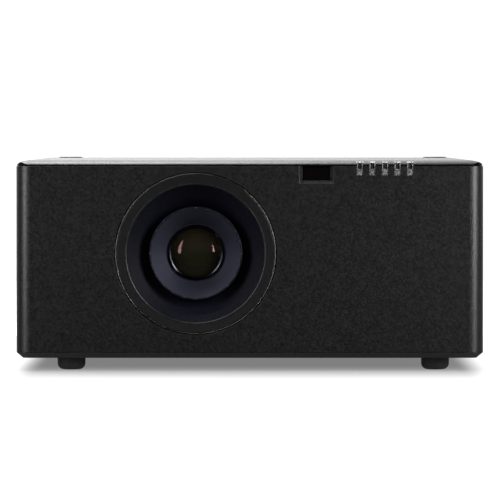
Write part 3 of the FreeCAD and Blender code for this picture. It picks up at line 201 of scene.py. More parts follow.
def rubber(name):
    g = Graph(name, (0.032, 0.032, 0.033), 0.60, Specular_Ior_Level=0.4)
    dust = g.span(g.noise(240.0, 6.0, 0.75), 0.52, 0.80)
    low = g.span(g.axes()[2], 0.007, 0.001)
    grime = g.math("MULTIPLY", dust, g.math("ADD", g.math("MULTIPLY", low, 0.35), 0.12))
    colour = g.shade((0.032, 0.032, 0.033, 1.0), g.noise(60.0, 3.0), 0.75, 1.25)
    g.put("Base Color", g.blend(grime, colour, (0.06, 0.057, 0.052, 1.0)))
    g.put("Roughness", g.span(dust, 0.0, 1.0, 0.60, 0.85))
    g.put("Normal", g.bump(g.noise(2200.0, 3.0), 0.4, 0.00012))
    return g.material


def anodised(name, base, rough):
    """Black anodised turning: rings of tool marks about the lens axis under a satin dye."""
    g = Graph(name, base, rough, Metallic=0.9, Specular_Ior_Level=0.4)
    away = g.off_axis()
    along = g.node("ShaderNodeCombineXYZ", {"X": away, "Y": g.axes()[1], "Z": 0.0}).outputs[0]
    rings = g.noise(5200.0, 2.0, 0.6, along)
    worn, soft = g.edges(0.0004)
    colour = g.shade((*base, 1.0), g.noise(26.0, 3.0), 0.82, 1.18)
    colour = g.shade(colour, rings, 0.85, 1.15)
    # Painted shade: the outer rim of the barrel's face is darkened to a quarter of its colour.
    rim = g.span(away, 0.0410, 0.0416)
    dull = [channel * 0.6 for channel in base]
    colour = g.shade(colour, rim, 1.0, 0.25)
    g.put("Base Color", g.blend(g.math("MULTIPLY", worn, 0.6), colour, (*dull, 1.0)))
    g.put("Roughness", g.span(rings, 0.2, 0.8, rough - 0.07, rough + 0.07))
    g.put("Normal", g.bump(rings, 0.25, 0.00004, soft))
    return g.material


def cast(name):
    """As-cast aluminium: grey skin, coarse sand grain, brighter where it is machined."""
    base = (0.46, 0.465, 0.475)
    g = Graph(name, base, 0.5, Metallic=1.0)
    sand = g.noise(640.0, 5.0, 0.7)
    flow = g.noise(24.0, 4.0, 0.6)
    worn, soft = g.edges(0.0007)
    colour = g.shade((*base, 1.0), flow, 0.72, 1.12)
    colour = g.shade(colour, sand, 0.88, 1.12)
    g.put("Base Color", g.blend(worn, colour, (0.68, 0.685, 0.69, 1.0)))
    g.put("Roughness", g.span(sand, 0.3, 0.7, 0.42, 0.62))
    g.put("Normal", g.bump(sand, 0.5, 0.0003, soft))
    return g.material


def drawn_metal(name, base, rough, stretch, depth=0.00005, spangle=0.0):
    """Plated or rolled metal, with marks drawn out along one axis and optional zinc spangle."""
    g = Graph(name, base, rough, Metallic=1.0)
    lines = g.noise(900.0, 4.0, 0.65, g.stretched(stretch))
    stain = g.noise(55.0, 4.0, 0.6)
    worn, soft = g.edges(0.0004)
    colour = g.shade((*base, 1.0), stain, 0.80, 1.12)
    colour = g.shade(colour, lines, 0.90, 1.08)
    if spangle:
        flake = g.cells(spangle, "F1")
        colour = g.shade(colour, flake, 0.78, 1.25)
    g.put("Base Color", g.blend(g.math("MULTIPLY", worn, 0.6), colour, (0.8, 0.8, 0.8, 1.0)))
    g.put("Roughness", g.span(g.math("ADD", lines, stain), 0.7, 1.3, rough - 0.06, rough + 0.12))
    g.put("Normal", g.bump(lines, 0.3, depth, soft))
    return g.material


def gear_plastic(name):
    """Acetal: waxy off-white, slightly translucent."""
    g = Graph(name, (0.66, 0.64, 0.58), 0.38, Subsurface_Weight=0.25, Subsurface_Scale=0.002,
              Specular_Ior_Level=0.4)
    colour = g.shade((0.66, 0.64, 0.58, 1.0), g.noise(48.0, 3.0), 0.85, 1.05)
    g.put("Base Color", g.shade(colour, g.noise(900.0, 2.0), 0.95, 1.04))
    g.put("Roughness", g.span(g.noise(300.0, 4.0), 0.3, 0.7, 0.32, 0.46))
    g.put("Normal", g.bump(g.noise(1500.0, 2.0), 0.2, 0.00006))
    return g.material


def circuit_board(name):
    """Solder mask over copper tracks, pads in a grid, and glass weave showing faintly."""
    g = Graph(name, (0.012, 0.10, 0.035), 0.34, Specular_Ior_Level=0.5, Coat_Weight=0.4)
    brick = g.node("ShaderNodeTexBrick", {"Vector": g.place, "Scale": 95.0, "Mortar Size": 0.035,
                                          "Color1": (0, 0, 0, 1), "Color2": (0.5, 0.5, 0.5, 1),
                                          "Mortar": (1, 1, 1, 1)}).outputs["Fac"]
    track = g.math("MULTIPLY", brick, g.span(g.noise(60.0, 1.0), 0.42, 0.5))
    pads = g.span(g.cells(230.0), 0.16, 0.12)
    weave = g.noise(1400.0, 1.0, 0.5, g.stretched((1.0, 0.25, 1.0)))
    colour = g.blend(track, (0.010, 0.085, 0.030, 1.0), (0.030, 0.19, 0.075, 1.0))
    colour = g.shade(colour, weave, 0.85, 1.12)
    colour = g.blend(pads, colour, (0.72, 0.70, 0.62, 1.0))
    g.put("Base Color", colour)
    g.put("Metallic", g.math("MULTIPLY", pads, 0.9))
    g.put("Roughness", g.span(weave, 0.3, 0.7, 0.26, 0.40))
    height = g.math("ADD", g.math("MULTIPLY", track, 0.6), pads)
    g.put("Normal", g.bump(height, 0.5, 0.00008))
    return g.material


def filter_paper(name):
    g = Graph(name, (0.52, 0.52, 0.49), 0.92, Specular_Ior_Level=0.15, Sheen_Weight=0.2)
    fibre = g.noise(1500.0, 5.0, 0.75, g.stretched((1.0, 1.0, 0.12)))
    blots = g.noise(45.0, 4.0, 0.6)
    colour = g.shade((0.52, 0.52, 0.49, 1.0), fibre, 0.72, 1.2)
    g.put("Base Color", g.blend(g.span(blots, 0.5, 0.8, 0.0, 0.5), colour, (0.30, 0.28, 0.25, 1.0)))
    g.put("Roughness", g.span(fibre, 0.3, 0.7, 0.85, 0.98))
    g.put("Normal", g.bump(fibre, 0.7, 0.0003))
    return g.material


def lens_glass(name):
    """Coated projection glass with a trace of dust and the coating's slow thickness drift."""
    g = Graph(name, (0.09, 0.09, 0.052), 0.045, Transmission_Weight=0.92, IOR=1.52,
              Specular_Ior_Level=0.06, Specular_Tint=(0.75, 0.42, 0.44, 1.0))
    dust = g.span(g.noise(2600.0, 4.0, 0.8), 0.74, 0.82)
    film = g.noise(42.0, 2.0)
    tone = g.blend(film, (0.075, 0.085, 0.044, 1.0), (0.115, 0.100, 0.064, 1.0))
    g.put("Base Color", g.blend(dust, tone, (0.22, 0.22, 0.21, 1.0)))
    g.put("Roughness", g.span(dust, 0.0, 1.0, 0.05, 0.25))
    g.put("Normal", g.bump(film, 0.02, 0.00005))
    return g.material


def coated_glass(name, one, two, clear):
    """Dichroic glass: two interference colours that swap over the surface."""
    g = Graph(name, one, 0.08, Transmission_Weight=clear, IOR=1.5, Coat_Weight=0.6, Coat_Roughness=0.04)
    bands = g.span(g.noise(30.0, 2.0), 0.35, 0.65)
    g.put("Base Color", g.blend(bands, (*one, 1.0), (*two, 1.0)))
    g.put("Roughness", g.span(g.noise(900.0, 3.0), 0.3, 0.8, 0.05, 0.16))
    g.put("Normal", g.bump(g.noise(260.0, 3.0), 0.08, 0.00008))
    return g.material


def window(name):
    """Infrared window: near-black polished acrylic with faint wipe marks."""
    base = (0.0018, 0.0012, 0.0015)
    g = Graph(name, base, 0.10, Specular_Ior_Level=0.3)
    wipe = g.noise(420.0, 5.0, 0.8, g.stretched((0.3, 1.0, 1.6)))
    g.put("Base Color", g.shade((*base, 1.0), g.noise(60.0, 3.0), 0.7, 1.4))
    g.put("Roughness", g.span(wipe, 0.4, 0.8, 0.07, 0.20))
    g.put("Normal", g.bump(g.noise(70.0, 2.0), 0.05, 0.0002))
    return g.material


def light_pipe(name):
    """Frosted clear plastic: milky where it is solid, with painted shade in the channel above."""
    base = (0.135, 0.137, 0.140)
    g = Graph(name, base, 0.42, Specular_Ior_Level=0.5, Subsurface_Weight=0.1, Subsurface_Scale=0.001)
    z = g.axes()[2]
    y = g.axes()[1]
    frost = g.noise(1300.0, 4.0, 0.7)
    blobs = g.cells(620.0)
    # Painted shade: the inside of the channel, above the solid part and behind its front, is made near-black
    # below.
    channel = g.math("MULTIPLY", g.span(z, 0.18655, 0.18690), g.span(y, -0.25290, -0.25240))
    colour = g.shade((*base, 1.0), g.span(blobs, 0.15, 0.65), 1.5, 0.35)
    colour = g.shade(colour, frost, 0.65, 1.35)
    colour = g.blend(g.span(z, 0.1866, 0.1871), colour, (0.19, 0.192, 0.195, 1.0))
    g.put("Base Color", g.blend(channel, colour, (0.008, 0.008, 0.009, 1.0)))
    g.put("Roughness", g.span(frost, 0.3, 0.7, 0.32, 0.52))
    g.put("Normal", g.bump(g.math("ADD", frost, blobs), 0.5, 0.00025))
    return g.material


def printed(name, base):
    """Pad-printed ink: slightly uneven cover."""
    g = Graph(name, base, 0.6, Specular_Ior_Level=0.3)
    g.put("Base Color", g.shade((*base, 1.0), g.noise(1800.0, 4.0, 0.7), 0.6, 1.2))
    g.put("Roughness", g.span(g.noise(900.0, 3.0), 0.3, 0.7, 0.5, 0.7))
    g.put("Normal", g.bump(g.noise(2500.0, 2.0), 0.2, 0.00003))
    return g.material


LOOKS = {
    "housing_black": moulded("moulded_black", (0.0052, 0.0052, 0.0054), 0.36, Specular_Ior_Level=0.5),
    "tray_black": powder_coat("coated_black", (0.022, 0.022, 0.0225)),
    "trim_black": moulded("satin_black", (0.0058, 0.0058, 0.0060), 0.35, grain=2400.0, depth=0.00006,
                          edge=0.0005, wear=3.0, Specular_Ior_Level=0.4),
    "shroud_black": moulded("matt_black", (0.0044, 0.0045, 0.0084), 0.50, grain=1700.0,
                            Specular_Ior_Level=0.06),
    "barrel_black": anodised("anodised_black", (0.088, 0.092, 0.132), 0.44),
    "window_dark": window("window_black"),
    "light_pipe": light_pipe("frosted_pipe"),
    "lens_glass": lens_glass("coated_lens"),
    "foot_rubber": rubber("rubber_black"),
    "key_plastic": moulded("key_black", (0.030, 0.030, 0.031), 0.40, grain=2000.0, wear=1.8,
                           edge=0.0004, Specular_Ior_Level=0.4),
    "socket_metal": drawn_metal("nickel_plate", (0.60, 0.585, 0.55), 0.26, (1.0, 0.1, 1.0)),
    "inlet_black": moulded("inlet_black", (0.016, 0.016, 0.016), 0.38, grain=1800.0, edge=0.0004),
    "rocker_red": moulded("rocker_black", (0.014, 0.014, 0.015), 0.22, grain=900.0, depth=0.00003,
                          edge=0.0004),
    "board_green": circuit_board("board_green"),
    "screw_steel": drawn_metal("black_zinc", (0.10, 0.10, 0.105), 0.34, (1.0, 1.0, 1.0)),
    "cast_metal": cast("cast_grey"),
    "turned_steel": drawn_metal("turned_steel", (0.60, 0.60, 0.61), 0.24, (1.0, 0.15, 1.0)),
    "gear_plastic": gear_plastic("acetal_pale"),
    "motor_can": drawn_metal("motor_plate", (0.50, 0.50, 0.49), 0.30, (0.15, 1.0, 1.0)),
    "supply_metal": drawn_metal("zinc_sheet", (0.58, 0.59, 0.58), 0.36, (1.0, 0.2, 1.0), spangle=170.0),
    "filter_foam": filter_paper("filter_paper"),
    "reflector_glass": coated_glass("reflector_coat", (0.55, 0.60, 0.72), (0.75, 0.62, 0.55), 0.25),
    "wheel_glass": coated_glass("wheel_coat", (0.30, 0.55, 0.60), (0.70, 0.30, 0.42), 0.45),
    "lamp_case": moulded("lamp_grey", (0.085, 0.083, 0.080), 0.50, grain=900.0, edge=0.0006),
    "fan_plastic": moulded("fan_black", (0.022, 0.022, 0.023), 0.36, grain=1500.0, edge=0.0005),
}
THREAD = drawn_metal("thread_black", (0.045, 0.046, 0.055), 0.16, (1.0, 1.0, 1.0))
BEAD_DIM = moulded("bead_dim", (0.010, 0.010, 0.0105), 0.30, grain=2400.0, depth=0.00002, wear=1.5,
                   edge=0.0003, Specular_Ior_Level=0.35)
BEAD = drawn_metal("bead_polished", (0.15, 0.15, 0.155), 0.32, (1.0, 1.0, 1.0), depth=0.000004)
# Near-black foam for the sheets that put painted shade behind the slots.
SHADE_FOAM = moulded("shade_screen_foam", (0.008, 0.008, 0.0085), 0.85, grain=900.0, depth=0.0004,
               Specular_Ior_Level=0.2)
INK = printed("ink_pale", (0.42, 0.43, 0.44))
INK_WHITE = printed("ink_white", (0.30, 0.30, 0.30))
INK_DIM = printed("ink_dim", (0.20, 0.20, 0.205))
D_CORE = moulded("insert_blue", (0.012, 0.03, 0.16), 0.40, grain=1500.0, edge=0.0002)
DARK_CORE = moulded("insert_black", (0.009, 0.009, 0.010), 0.55, grain=1500.0, edge=0.0002,
                    Specular_Ior_Level=0.25)
WHITE_CORE = moulded("insert_white", (0.62, 0.61, 0.58), 0.45, grain=1500.0, edge=0.0002, wear=1.0)
GOLD = drawn_metal("contact_gold", (0.83, 0.60, 0.24), 0.22, (1.0, 0.1, 1.0))

for part in frame["record"]["subparts"]:
    owner = NODES[part["node"]]
    owner.data.materials.clear()
    owner.data.materials.append(LOOKS[part["material_slot"]])


# ---- mesh helpers ------------------------------------------------------------------------
def piece(name, verts, faces, body, material, smooth=True, bevel=0.0):
    mesh = bpy.data.meshes.new(name)
    mesh.from_pydata([Vector(v) for v in verts], [], faces)
    work = bmesh.new()
    work.from_mesh(mesh)
    bmesh.ops.recalc_face_normals(work, faces=work.faces)
    work.to_mesh(mesh)
    work.free()
    made = bpy.data.objects.new(name, mesh)
    bpy.context.scene.collection.objects.link(made)
    mesh.materials.append(material)
    if bevel:
        edge = made.modifiers.new("edge", "BEVEL")
        edge.width = bevel
        edge.segments = 2
        edge.limit_method = "ANGLE"
    if smooth:
        mesh.shade_smooth()
        angle = made.modifiers.new("weighted", "WEIGHTED_NORMAL")
        angle.keep_sharp = True
    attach(made, body)
    return made


def turned(name, centre, profile, body, material, steps=96, bevel=0.0):
    """Closed profile of (radius, y) points turned about an axis along Y through centre (x, z)."""
    verts = []
    count = len(profile)
    for step in range(steps):
        turn = 2 * math.pi * step / steps
        for radius, y in profile:
            verts.append((centre[0] + radius * math.cos(turn), y, centre[1] + radius * math.sin(turn)))
    faces = []
    for step in range(steps):
        ahead = (step + 1) % steps
        for index in range(count):
            after = (index + 1) % count
            faces.append((step * count + index, step * count + after,
                          ahead * count + after, ahead * count + index))
    return piece(name, verts, faces, body, material, bevel=bevel)


def plates(name, shapes, y0, y1, body, material):
    """Flat shapes, each a list of (x, z) corners, given thickness from y0 to y1."""
    verts = []
    faces = []
    for corners in shapes:
        first = len(verts)
        count = len(corners)
        verts += [(x, y0, z) for x, z in corners] + [(x, y1, z) for x, z in corners]
        faces.append(tuple(first + i for i in range(count)))
        faces.append(tuple(first + count + i for i in reversed(range(count))))
        for i in range(count):
            j = (i + 1) % count
            faces.append((first + i, first + count + i, first + count + j, first + j))
    return piece(name, verts, faces, body, material, smooth=False)


def bar(x, z, width, height):
    return [(x - width / 2, z - height / 2), (x + width / 2, z - height / 2),
            (x + width / 2, z + height / 2), (x - width / 2, z + height / 2)]


def arc_band(x, z, radius, width, start, end, steps=28):
    """One closed outline for part of a ring; angles in degrees from +X."""
    angles = [math.radians(start + (end - start) * i / steps) for i in range(steps + 1)]
    outer = [(x + (radius + width / 2) * math.cos(a), z + (radius + width / 2) * math.sin(a)) for a in angles]
    inner = [(x + (radius - width / 2) * math.cos(a), z + (radius - width / 2) * math.sin(a))
             for a in reversed(angles)]
    return outer + inner


def arrow(x, z, size, turn):
    corners = []
    for step in range(3):
        angle = math.radians(turn + 120 * step)
        corners.append((x + size * math.cos(angle), z + size * math.sin(angle)))
    return corners


# ---- details the CAD leaves to the looks -------------------------------------------------
def split_cores():
    """Gives the plastic and gold parts inside the sockets their own materials, face by face."""
    node = NODES["board_sockets"].data
    for material in (D_CORE, DARK_CORE, GOLD, WHITE_CORE):
        node.materials.append(material)
    for face in node.polygons:
        x, y, z = face.center
        for core_x in D_SOCKET_XS:
            inside = abs(x - core_x) < 0.00725 and abs(z - SOCKET_Z) < 0.0030
            if inside and y > RECESS_FLOOR - 0.0039:
                face.material_index = 1
            if abs(x - core_x) > 0.0147 and abs(x - core_x) < 0.0156:
                face.material_index = 2
        for core_x in HDMI_XS:
            if abs(x - core_x) < 0.0056 and abs(z - SOCKET_Z) < 0.0007:
                face.material_index = 2
        if abs(x - LAN_X) < 0.0081 and y < RECESS_FLOOR + 0.0009 and abs(z - SOCKET_Z) < 0.0064:
            face.material_index = 2
    jacks = NODES["bnc_jacks"].data
    jacks.materials.append(WHITE_CORE)
    jacks.materials.append(GOLD)
    for face in jacks.polygons:
        x, y, z = face.center
        reach = min(math.hypot(x - jack, z - BNC_Z) for jack in BNC_XS)
        if reach < 0.0009:
            face.material_index = 2
        elif reach < 0.0034 and y < BACK - 0.015:
            face.material_index = 1


def matt_recess():
    """Unpolished bevel round the infrared window."""
    panel = NODES["front_panel"].data
    panel.materials.append(DARK_CORE)
    for face in panel.polygons:
        x, y, z = face.center
        beside = IR_X[0] - 0.003 < x < IR_X[1] + 0.003 and IR_LOW - 0.003 < z
        if beside and FRONT + 0.0001 < y < FRONT + 0.0045 and face.normal.z > 0.3:
            face.material_index = 1


def lens_ring():
    """Retaining ring that clamps the front glass, with a fine thread and two spanner notches drawn as painted
    shade.
    """
    y = -0.2143
    profile = [(0.02600, y + 0.0016), (0.02600, y - 0.0012), (0.02585, y - 0.0015), (0.02450, y - 0.0015)]
    for step in range(5):
        radius = 0.02440 - 0.00024 * step
        profile += [(radius, y - 0.0015 + 0.0003 * step), (radius - 0.00012, y - 0.0012 + 0.0003 * step)]
    profile += [(0.02300, y + 0.0002), (0.02300, y + 0.0016)]
    turned("front_retaining_ring", LENS, profile, "lens", THREAD, 128)
    # The spanner notches are thin near-black plates on the ring's face: painted shade in place of hollows.
    notches = [arc_band(LENS[0], LENS[1], 0.0252, 0.0013, middle - 5, middle + 5, 6) for middle in (40, 220)]
    plates("retaining_ring_notch_shades", notches, y - 0.00153, y - 0.0014, "lens", DARK_CORE)


def trim_beads():
    """Polished lines along the outer and inner edges of the trim ring."""
    outer = [(0.07345, FRONT + 0.0004), (0.07350, FRONT + 0.00005), (0.07375, FRONT - 0.00015),
             (0.07400, FRONT + 0.00005), (0.07430, FRONT + 0.0005), (0.07430, FRONT + 0.0012),
             (0.07400, FRONT + 0.0016)]
    turned("trim_bead_outer", LENS, outer, "chassis", BEAD, 192)
    inner = [(0.06500, FRONT + 0.0009), (0.06460, FRONT + 0.00075), (0.06400, FRONT + 0.0011),
             (0.06360, FRONT + 0.0018), (0.06345, FRONT + 0.0026), (0.06400, FRONT + 0.0026)]
    turned("trim_bead_inner", LENS, inner, "chassis", BEAD_DIM, 192)


def lens_front_lines():
    """Engraved and paint-filled ticks round the rim of the barrel."""
    ticks = []
    for index in range(24):
        angle = 15 * index
        reach = 0.0005 if index % 6 else 0.0009
        ticks.append(arc_band(LENS[0], LENS[1], 0.04215, reach, angle - 0.35, angle + 0.35, 2))
    plates("barrel_rim_ticks", ticks, -0.23804, -0.23795, "lens", INK_DIM)


def lid_surface(z):
    """y of the lid's crowned front edge at height z."""
    rise = max(0.0, z - (LID_TOP - LID_EDGE)) / LID_EDGE
    return LID_FRONT + LID_CROWN * (1.0 - math.sqrt(max(1.0 - rise ** 2, 0.0)))


def indicator_marks():
    """Small printed pictograms on the lid's edge, one above each light: no lettering."""
    verts = []
    faces = []
    low, high = MARK_Z
    gap = 0.0011
    widths = ((0.0014, 0.0022, 0.0014), (0.0046,), (0.0018, 0.0018), (0.0012, 0.0034), (0.0034, 0.0012))
    for centre, row in zip(PIPE_XS, widths):
        left = centre - (sum(row) + gap * (len(row) - 1)) / 2
        for width in row:
            first = len(verts)
            for lift in (0.00014, -0.00006):
                for step in range(5):
                    z = low + (high - low) * step / 4
                    y = lid_surface(z) - lift
                    verts += [(left, y, z + lift), (left + width, y, z + lift)]
            for step in range(4):
                base = first + 2 * step
                faces.append((base, base + 1, base + 3, base + 2))
                back = base + 10
                faces.append((back, back + 2, back + 3, back + 1))
                faces.append((base, base + 2, back + 2, back))
                faces.append((base + 1, back + 1, back + 3, base + 3))
            faces.append((first, first + 10, first + 11, first + 1))
            faces.append((first + 8, first + 9, first + 19, first + 18))
            left += width + gap
    piece("indicator_marks", verts, faces, "chassis", INK_WHITE, smooth=False)


def key_symbols():
    """Arrows, a ring and a power sign on the keys."""
    top = KEY_FACE + 0.00006
    for name, (across, up) in KEYS.items():
        x = KEY_CENTRE[0] + across * KEY_STEP
        z = KEY_CENTRE[1] + up * KEY_STEP
        turn = {"up": 90, "down": 270, "left": 0, "right": 180}.get(name)
        if turn is not None:
            shapes = [arrow(x, z, 0.0024, turn)]
        elif name == "enter":
            shapes = [arc_band(x, z, 0.0021, 0.0006, 0, 179.5), arc_band(x, z, 0.0021, 0.0006, 180, 359.5)]
        else:
            shapes = [arc_band(x, z - 0.0002, 0.0023, 0.0006, 125, 415), bar(x, z + 0.0016, 0.0006, 0.0026)]
        plates("symbol_" + name, shapes, KEY_FACE - 0.00004, top, "key_" + name, INK)


def rocker_signs():
    """On and off signs on the rocker's two faces, printed along its tilted surfaces."""
    tilt = math.radians(-9.0)
    centre = Vector((ROCKER[0], BACK - 0.009, ROCKER[1]))

    def placed(x, y, z):
        lean = Vector((x - centre.x, y * math.cos(tilt) - z * math.sin(tilt),
                       y * math.sin(tilt) + z * math.cos(tilt)))
        return centre + lean

    verts = []
    faces = []
    for up, shape in ((1, bar(0.0, 0.0, 0.0007, 0.0040)), (-1, arc_band(0.0, 0.0, 0.0017, 0.0006, 0, 358))):
        count = len(shape)
        first = len(verts)
        for lift in (-0.00002, 0.00008):
            for x, z in shape:
                along = up * 0.0058 + z
                face = 0.0044 + 0.0018 * abs(along) / 0.0105 + lift
                verts.append(placed(centre.x + x, face, along))
        faces.append(tuple(first + i for i in range(count)))
        faces.append(tuple(first + count + i for i in reversed(range(count))))
        for i in range(count):
            j = (i + 1) % count
            faces.append((first + i, first + count + i, first + count + j, first + j))
    piece("rocker_signs", verts, faces, "power_rocker", INK, smooth=False)


def jack_rings():
    """Coloured collars that tell the five coaxial jacks apart."""
    hues = ((0.42, 0.02, 0.015), (0.02, 0.25, 0.05), (0.015, 0.06, 0.36),
            (0.32, 0.32, 0.32), (0.02, 0.02, 0.02))
    y = RECESS_FLOOR + 0.00005
    for index, (x, hue) in enumerate(zip(BNC_XS, hues)):
        profile = [(0.00725, y), (0.00860, y), (0.00860, y + 0.0007), (0.00840, y + 0.0009),
                   (0.00745, y + 0.0009), (0.00725, y + 0.0007)]
        look = moulded("collar_%d" % index, hue, 0.42, grain=1800.0, edge=0.0002, wear=1.0)
        turned("jack_collar_%d" % index, (x, BNC_Z), profile, "chassis", look, 48)


def lan_contacts():
    """Eight sprung contacts in the network socket and its two indicator windows."""
    shapes = []
    for index in range(8):
        shapes.append(bar(LAN_X - 0.00357 + 0.00102 * index, SOCKET_Z + 0.00345, 0.00045, 0.0009))
    plates("network_contacts", shapes, RECESS_FLOOR - 0.0095, RECESS_FLOOR - 0.0008, "chassis",
           GOLD)
    lamps = [bar(LAN_X + side * 0.0052, SOCKET_Z + 0.00535, 0.0026, 0.0014) for side in (-1, 1)]
    plates("network_lights", lamps, RECESS_FLOOR + 0.0008, RECESS_FLOOR + 0.0012, "chassis",
           INK_DIM)


def inlet_blades():
    """Plated sleeves over the mains inlet's three pins."""
    places = ((INLET_X - 0.007, 0.053), (INLET_X + 0.007, 0.053), (INLET_X, 0.0575))
    shapes = [bar(x, z, 0.0022, 0.0047) for x, z in places]
    plates("mains_pins", shapes, BACK - 0.0175, BACK - 0.0029, "chassis",
           LOOKS["socket_metal"])


def recess_frame():
    """Raised bead round the socket recess, so that its edge catches the light."""
    wide = 0.0012
    width = RECESS_X[1] - RECESS_X[0]
    height = RECESS_Z[1] - RECESS_Z[0]
    x = (RECESS_X[0] + RECESS_X[1]) / 2
    z = (RECESS_Z[0] + RECESS_Z[1]) / 2
    shapes = [bar(x, RECESS_Z[0] - wide / 2, width + 2 * wide, wide),
              bar(x, RECESS_Z[1] + wide / 2, width + 2 * wide, wide),
              bar(RECESS_X[0] - wide / 2, z, wide, height),
              bar(RECESS_X[1] + wide / 2, z, wide, height)]
    plates("recess_bead", shapes, BACK - 0.00005, BACK + 0.00045, "chassis",
           LOOKS["housing_black"])


def dust_and_shade_screens():
    """Near-black foam sheets behind the rear vents and the intake: painted shade, so that the slots look
    dark.
    """
    inner = BACK - 0.0035
    rear = [bar(-0.092, 0.150, 0.182, 0.050), bar(0.1555, 0.130, 0.077, 0.090)]
    plates("rear_dust_and_shade_screens", rear, inner - 0.0008, inner, "chassis", SHADE_FOAM)
    sheet = [(x, y, z) for x in (-0.2125, -0.2117) for y in (-0.203, -0.057) for z in (0.037, 0.103)]
    faces = [(0, 1, 3, 2), (4, 6, 7, 5), (0, 4, 5, 1), (2, 3, 7, 6), (0, 2, 6, 4), (1, 5, 7, 3)]
    piece("intake_dust_and_shade_screen", sheet, faces, "chassis", SHADE_FOAM, smooth=False, bevel=0.0002)


def socket_icons():
    """Outline pictograms printed under the sockets: no lettering."""
    shapes = []
    z = SOCKET_Z - 0.0135
    for x in D_SOCKET_XS:
        shapes += [bar(x, z + 0.0011, 0.0060, 0.0004), bar(x, z - 0.0011, 0.0046, 0.0004)]
    for x in HDMI_XS:
        shapes += [bar(x, z, 0.0052, 0.0004), bar(x, z + 0.0012, 0.0060, 0.0004)]
    for side in (-1, 0, 1):
        shapes.append(bar(LAN_X + 0.0026 * side, z - 0.0008, 0.0014, 0.0012))
    shapes += [bar(LAN_X, z + 0.0012, 0.0014, 0.0012), bar(LAN_X, z + 0.0002, 0.0066, 0.00035)]
    plates("socket_pictograms", shapes, RECESS_FLOOR - 0.00003, RECESS_FLOOR + 0.00006, "chassis",
           INK_DIM)


split_cores()
matt_recess()
lens_ring()
trim_beads()
lens_front_lines()
indicator_marks()
key_symbols()
rocker_signs()
jack_rings()
lan_contacts()
inlet_blades()
recess_frame()
socket_icons()
dust_and_shade_screens()


# ---- floor, light and camera -------------------------------------------------------------
def disc(name, inner, outer, material):
    """Flat ring of floor between two radii."""
    steps = 96
    verts = []
    for radius in (inner, outer):
        for step in range(steps):
            turn = 2 * math.pi * step / steps
            verts.append((radius * math.cos(turn), radius * math.sin(turn), 0.0))
    faces = [(i, steps + i, steps + (i + 1) % steps, (i + 1) % steps) for i in range(steps)]
    mesh = bpy.data.meshes.new(name)
    mesh.from_pydata(verts, [], faces)
    mesh.materials.append(material)
    made = bpy.data.objects.new(name, mesh)
    bpy.context.scene.collection.objects.link(made)
    made.visible_glossy = False
    return made


def floor():
    """Round pale floor with a painted shadow: its glow is grey under the object and rises to white round it.
    """
    near = Graph("floor_painted_shadow", (FLOOR_TONE, FLOOR_TONE, FLOOR_TONE), 0.95, Specular_Ior_Level=0.0,
                 Emission_Color=(1.0, 1.0, 1.0, 1.0))
    x, y = near.axes()[:2]
    # Painted shadow: the glow is low over the object's footprint and rises to white outside it.
    beside = near.span(near.math("ABSOLUTE", x), *PAINTED_SHADOW_SIDE)
    along = near.math("MAXIMUM", near.span(y, *PAINTED_SHADOW_FRONT), near.span(y, *PAINTED_SHADOW_REAR))
    away = [near.math("MULTIPLY", part, part) for part in (beside, along)]
    reach = near.math("SQRT", near.math("ADD", *away))
    keys = {"Value": reach, "From Min": 0.0, "From Max": 1.0, "To Min": PAINTED_SHADOW_GLOW, "To Max": FLOOR_WHITE}
    rise = near.node("ShaderNodeMapRange", keys, interpolation_type="SMOOTHSTEP")
    near.put("Emission Strength", rise.outputs["Result"])
    far = Graph("floor_far", (BACKDROP_TONE, BACKDROP_TONE, BACKDROP_TONE), 0.95, Specular_Ior_Level=0.0,
                Emission_Color=(1.0, 1.0, 1.0, 1.0), Emission_Strength=1.0)
    disc("floor", 0.0005, FLOOR_NEAR, near.material)
    disc("floor_backdrop", FLOOR_NEAR, FLOOR_FAR, far.material).visible_diffuse = False


def soft_box(name, place, aim, width, height, radiance):
    """Rectangular area light that shines from place towards aim."""
    lamp = bpy.data.lights.new(name, "AREA")
    lamp.shape = "RECTANGLE"
    lamp.size = width
    lamp.size_y = height
    lamp.energy = radiance * math.pi * width * height
    made = bpy.data.objects.new(name, lamp)
    made.location = place
    made.rotation_euler = (Vector(aim) - Vector(place)).to_track_quat("-Z", "Y").to_euler()
    made.visible_camera = False
    bpy.context.scene.collection.objects.link(made)
    return made


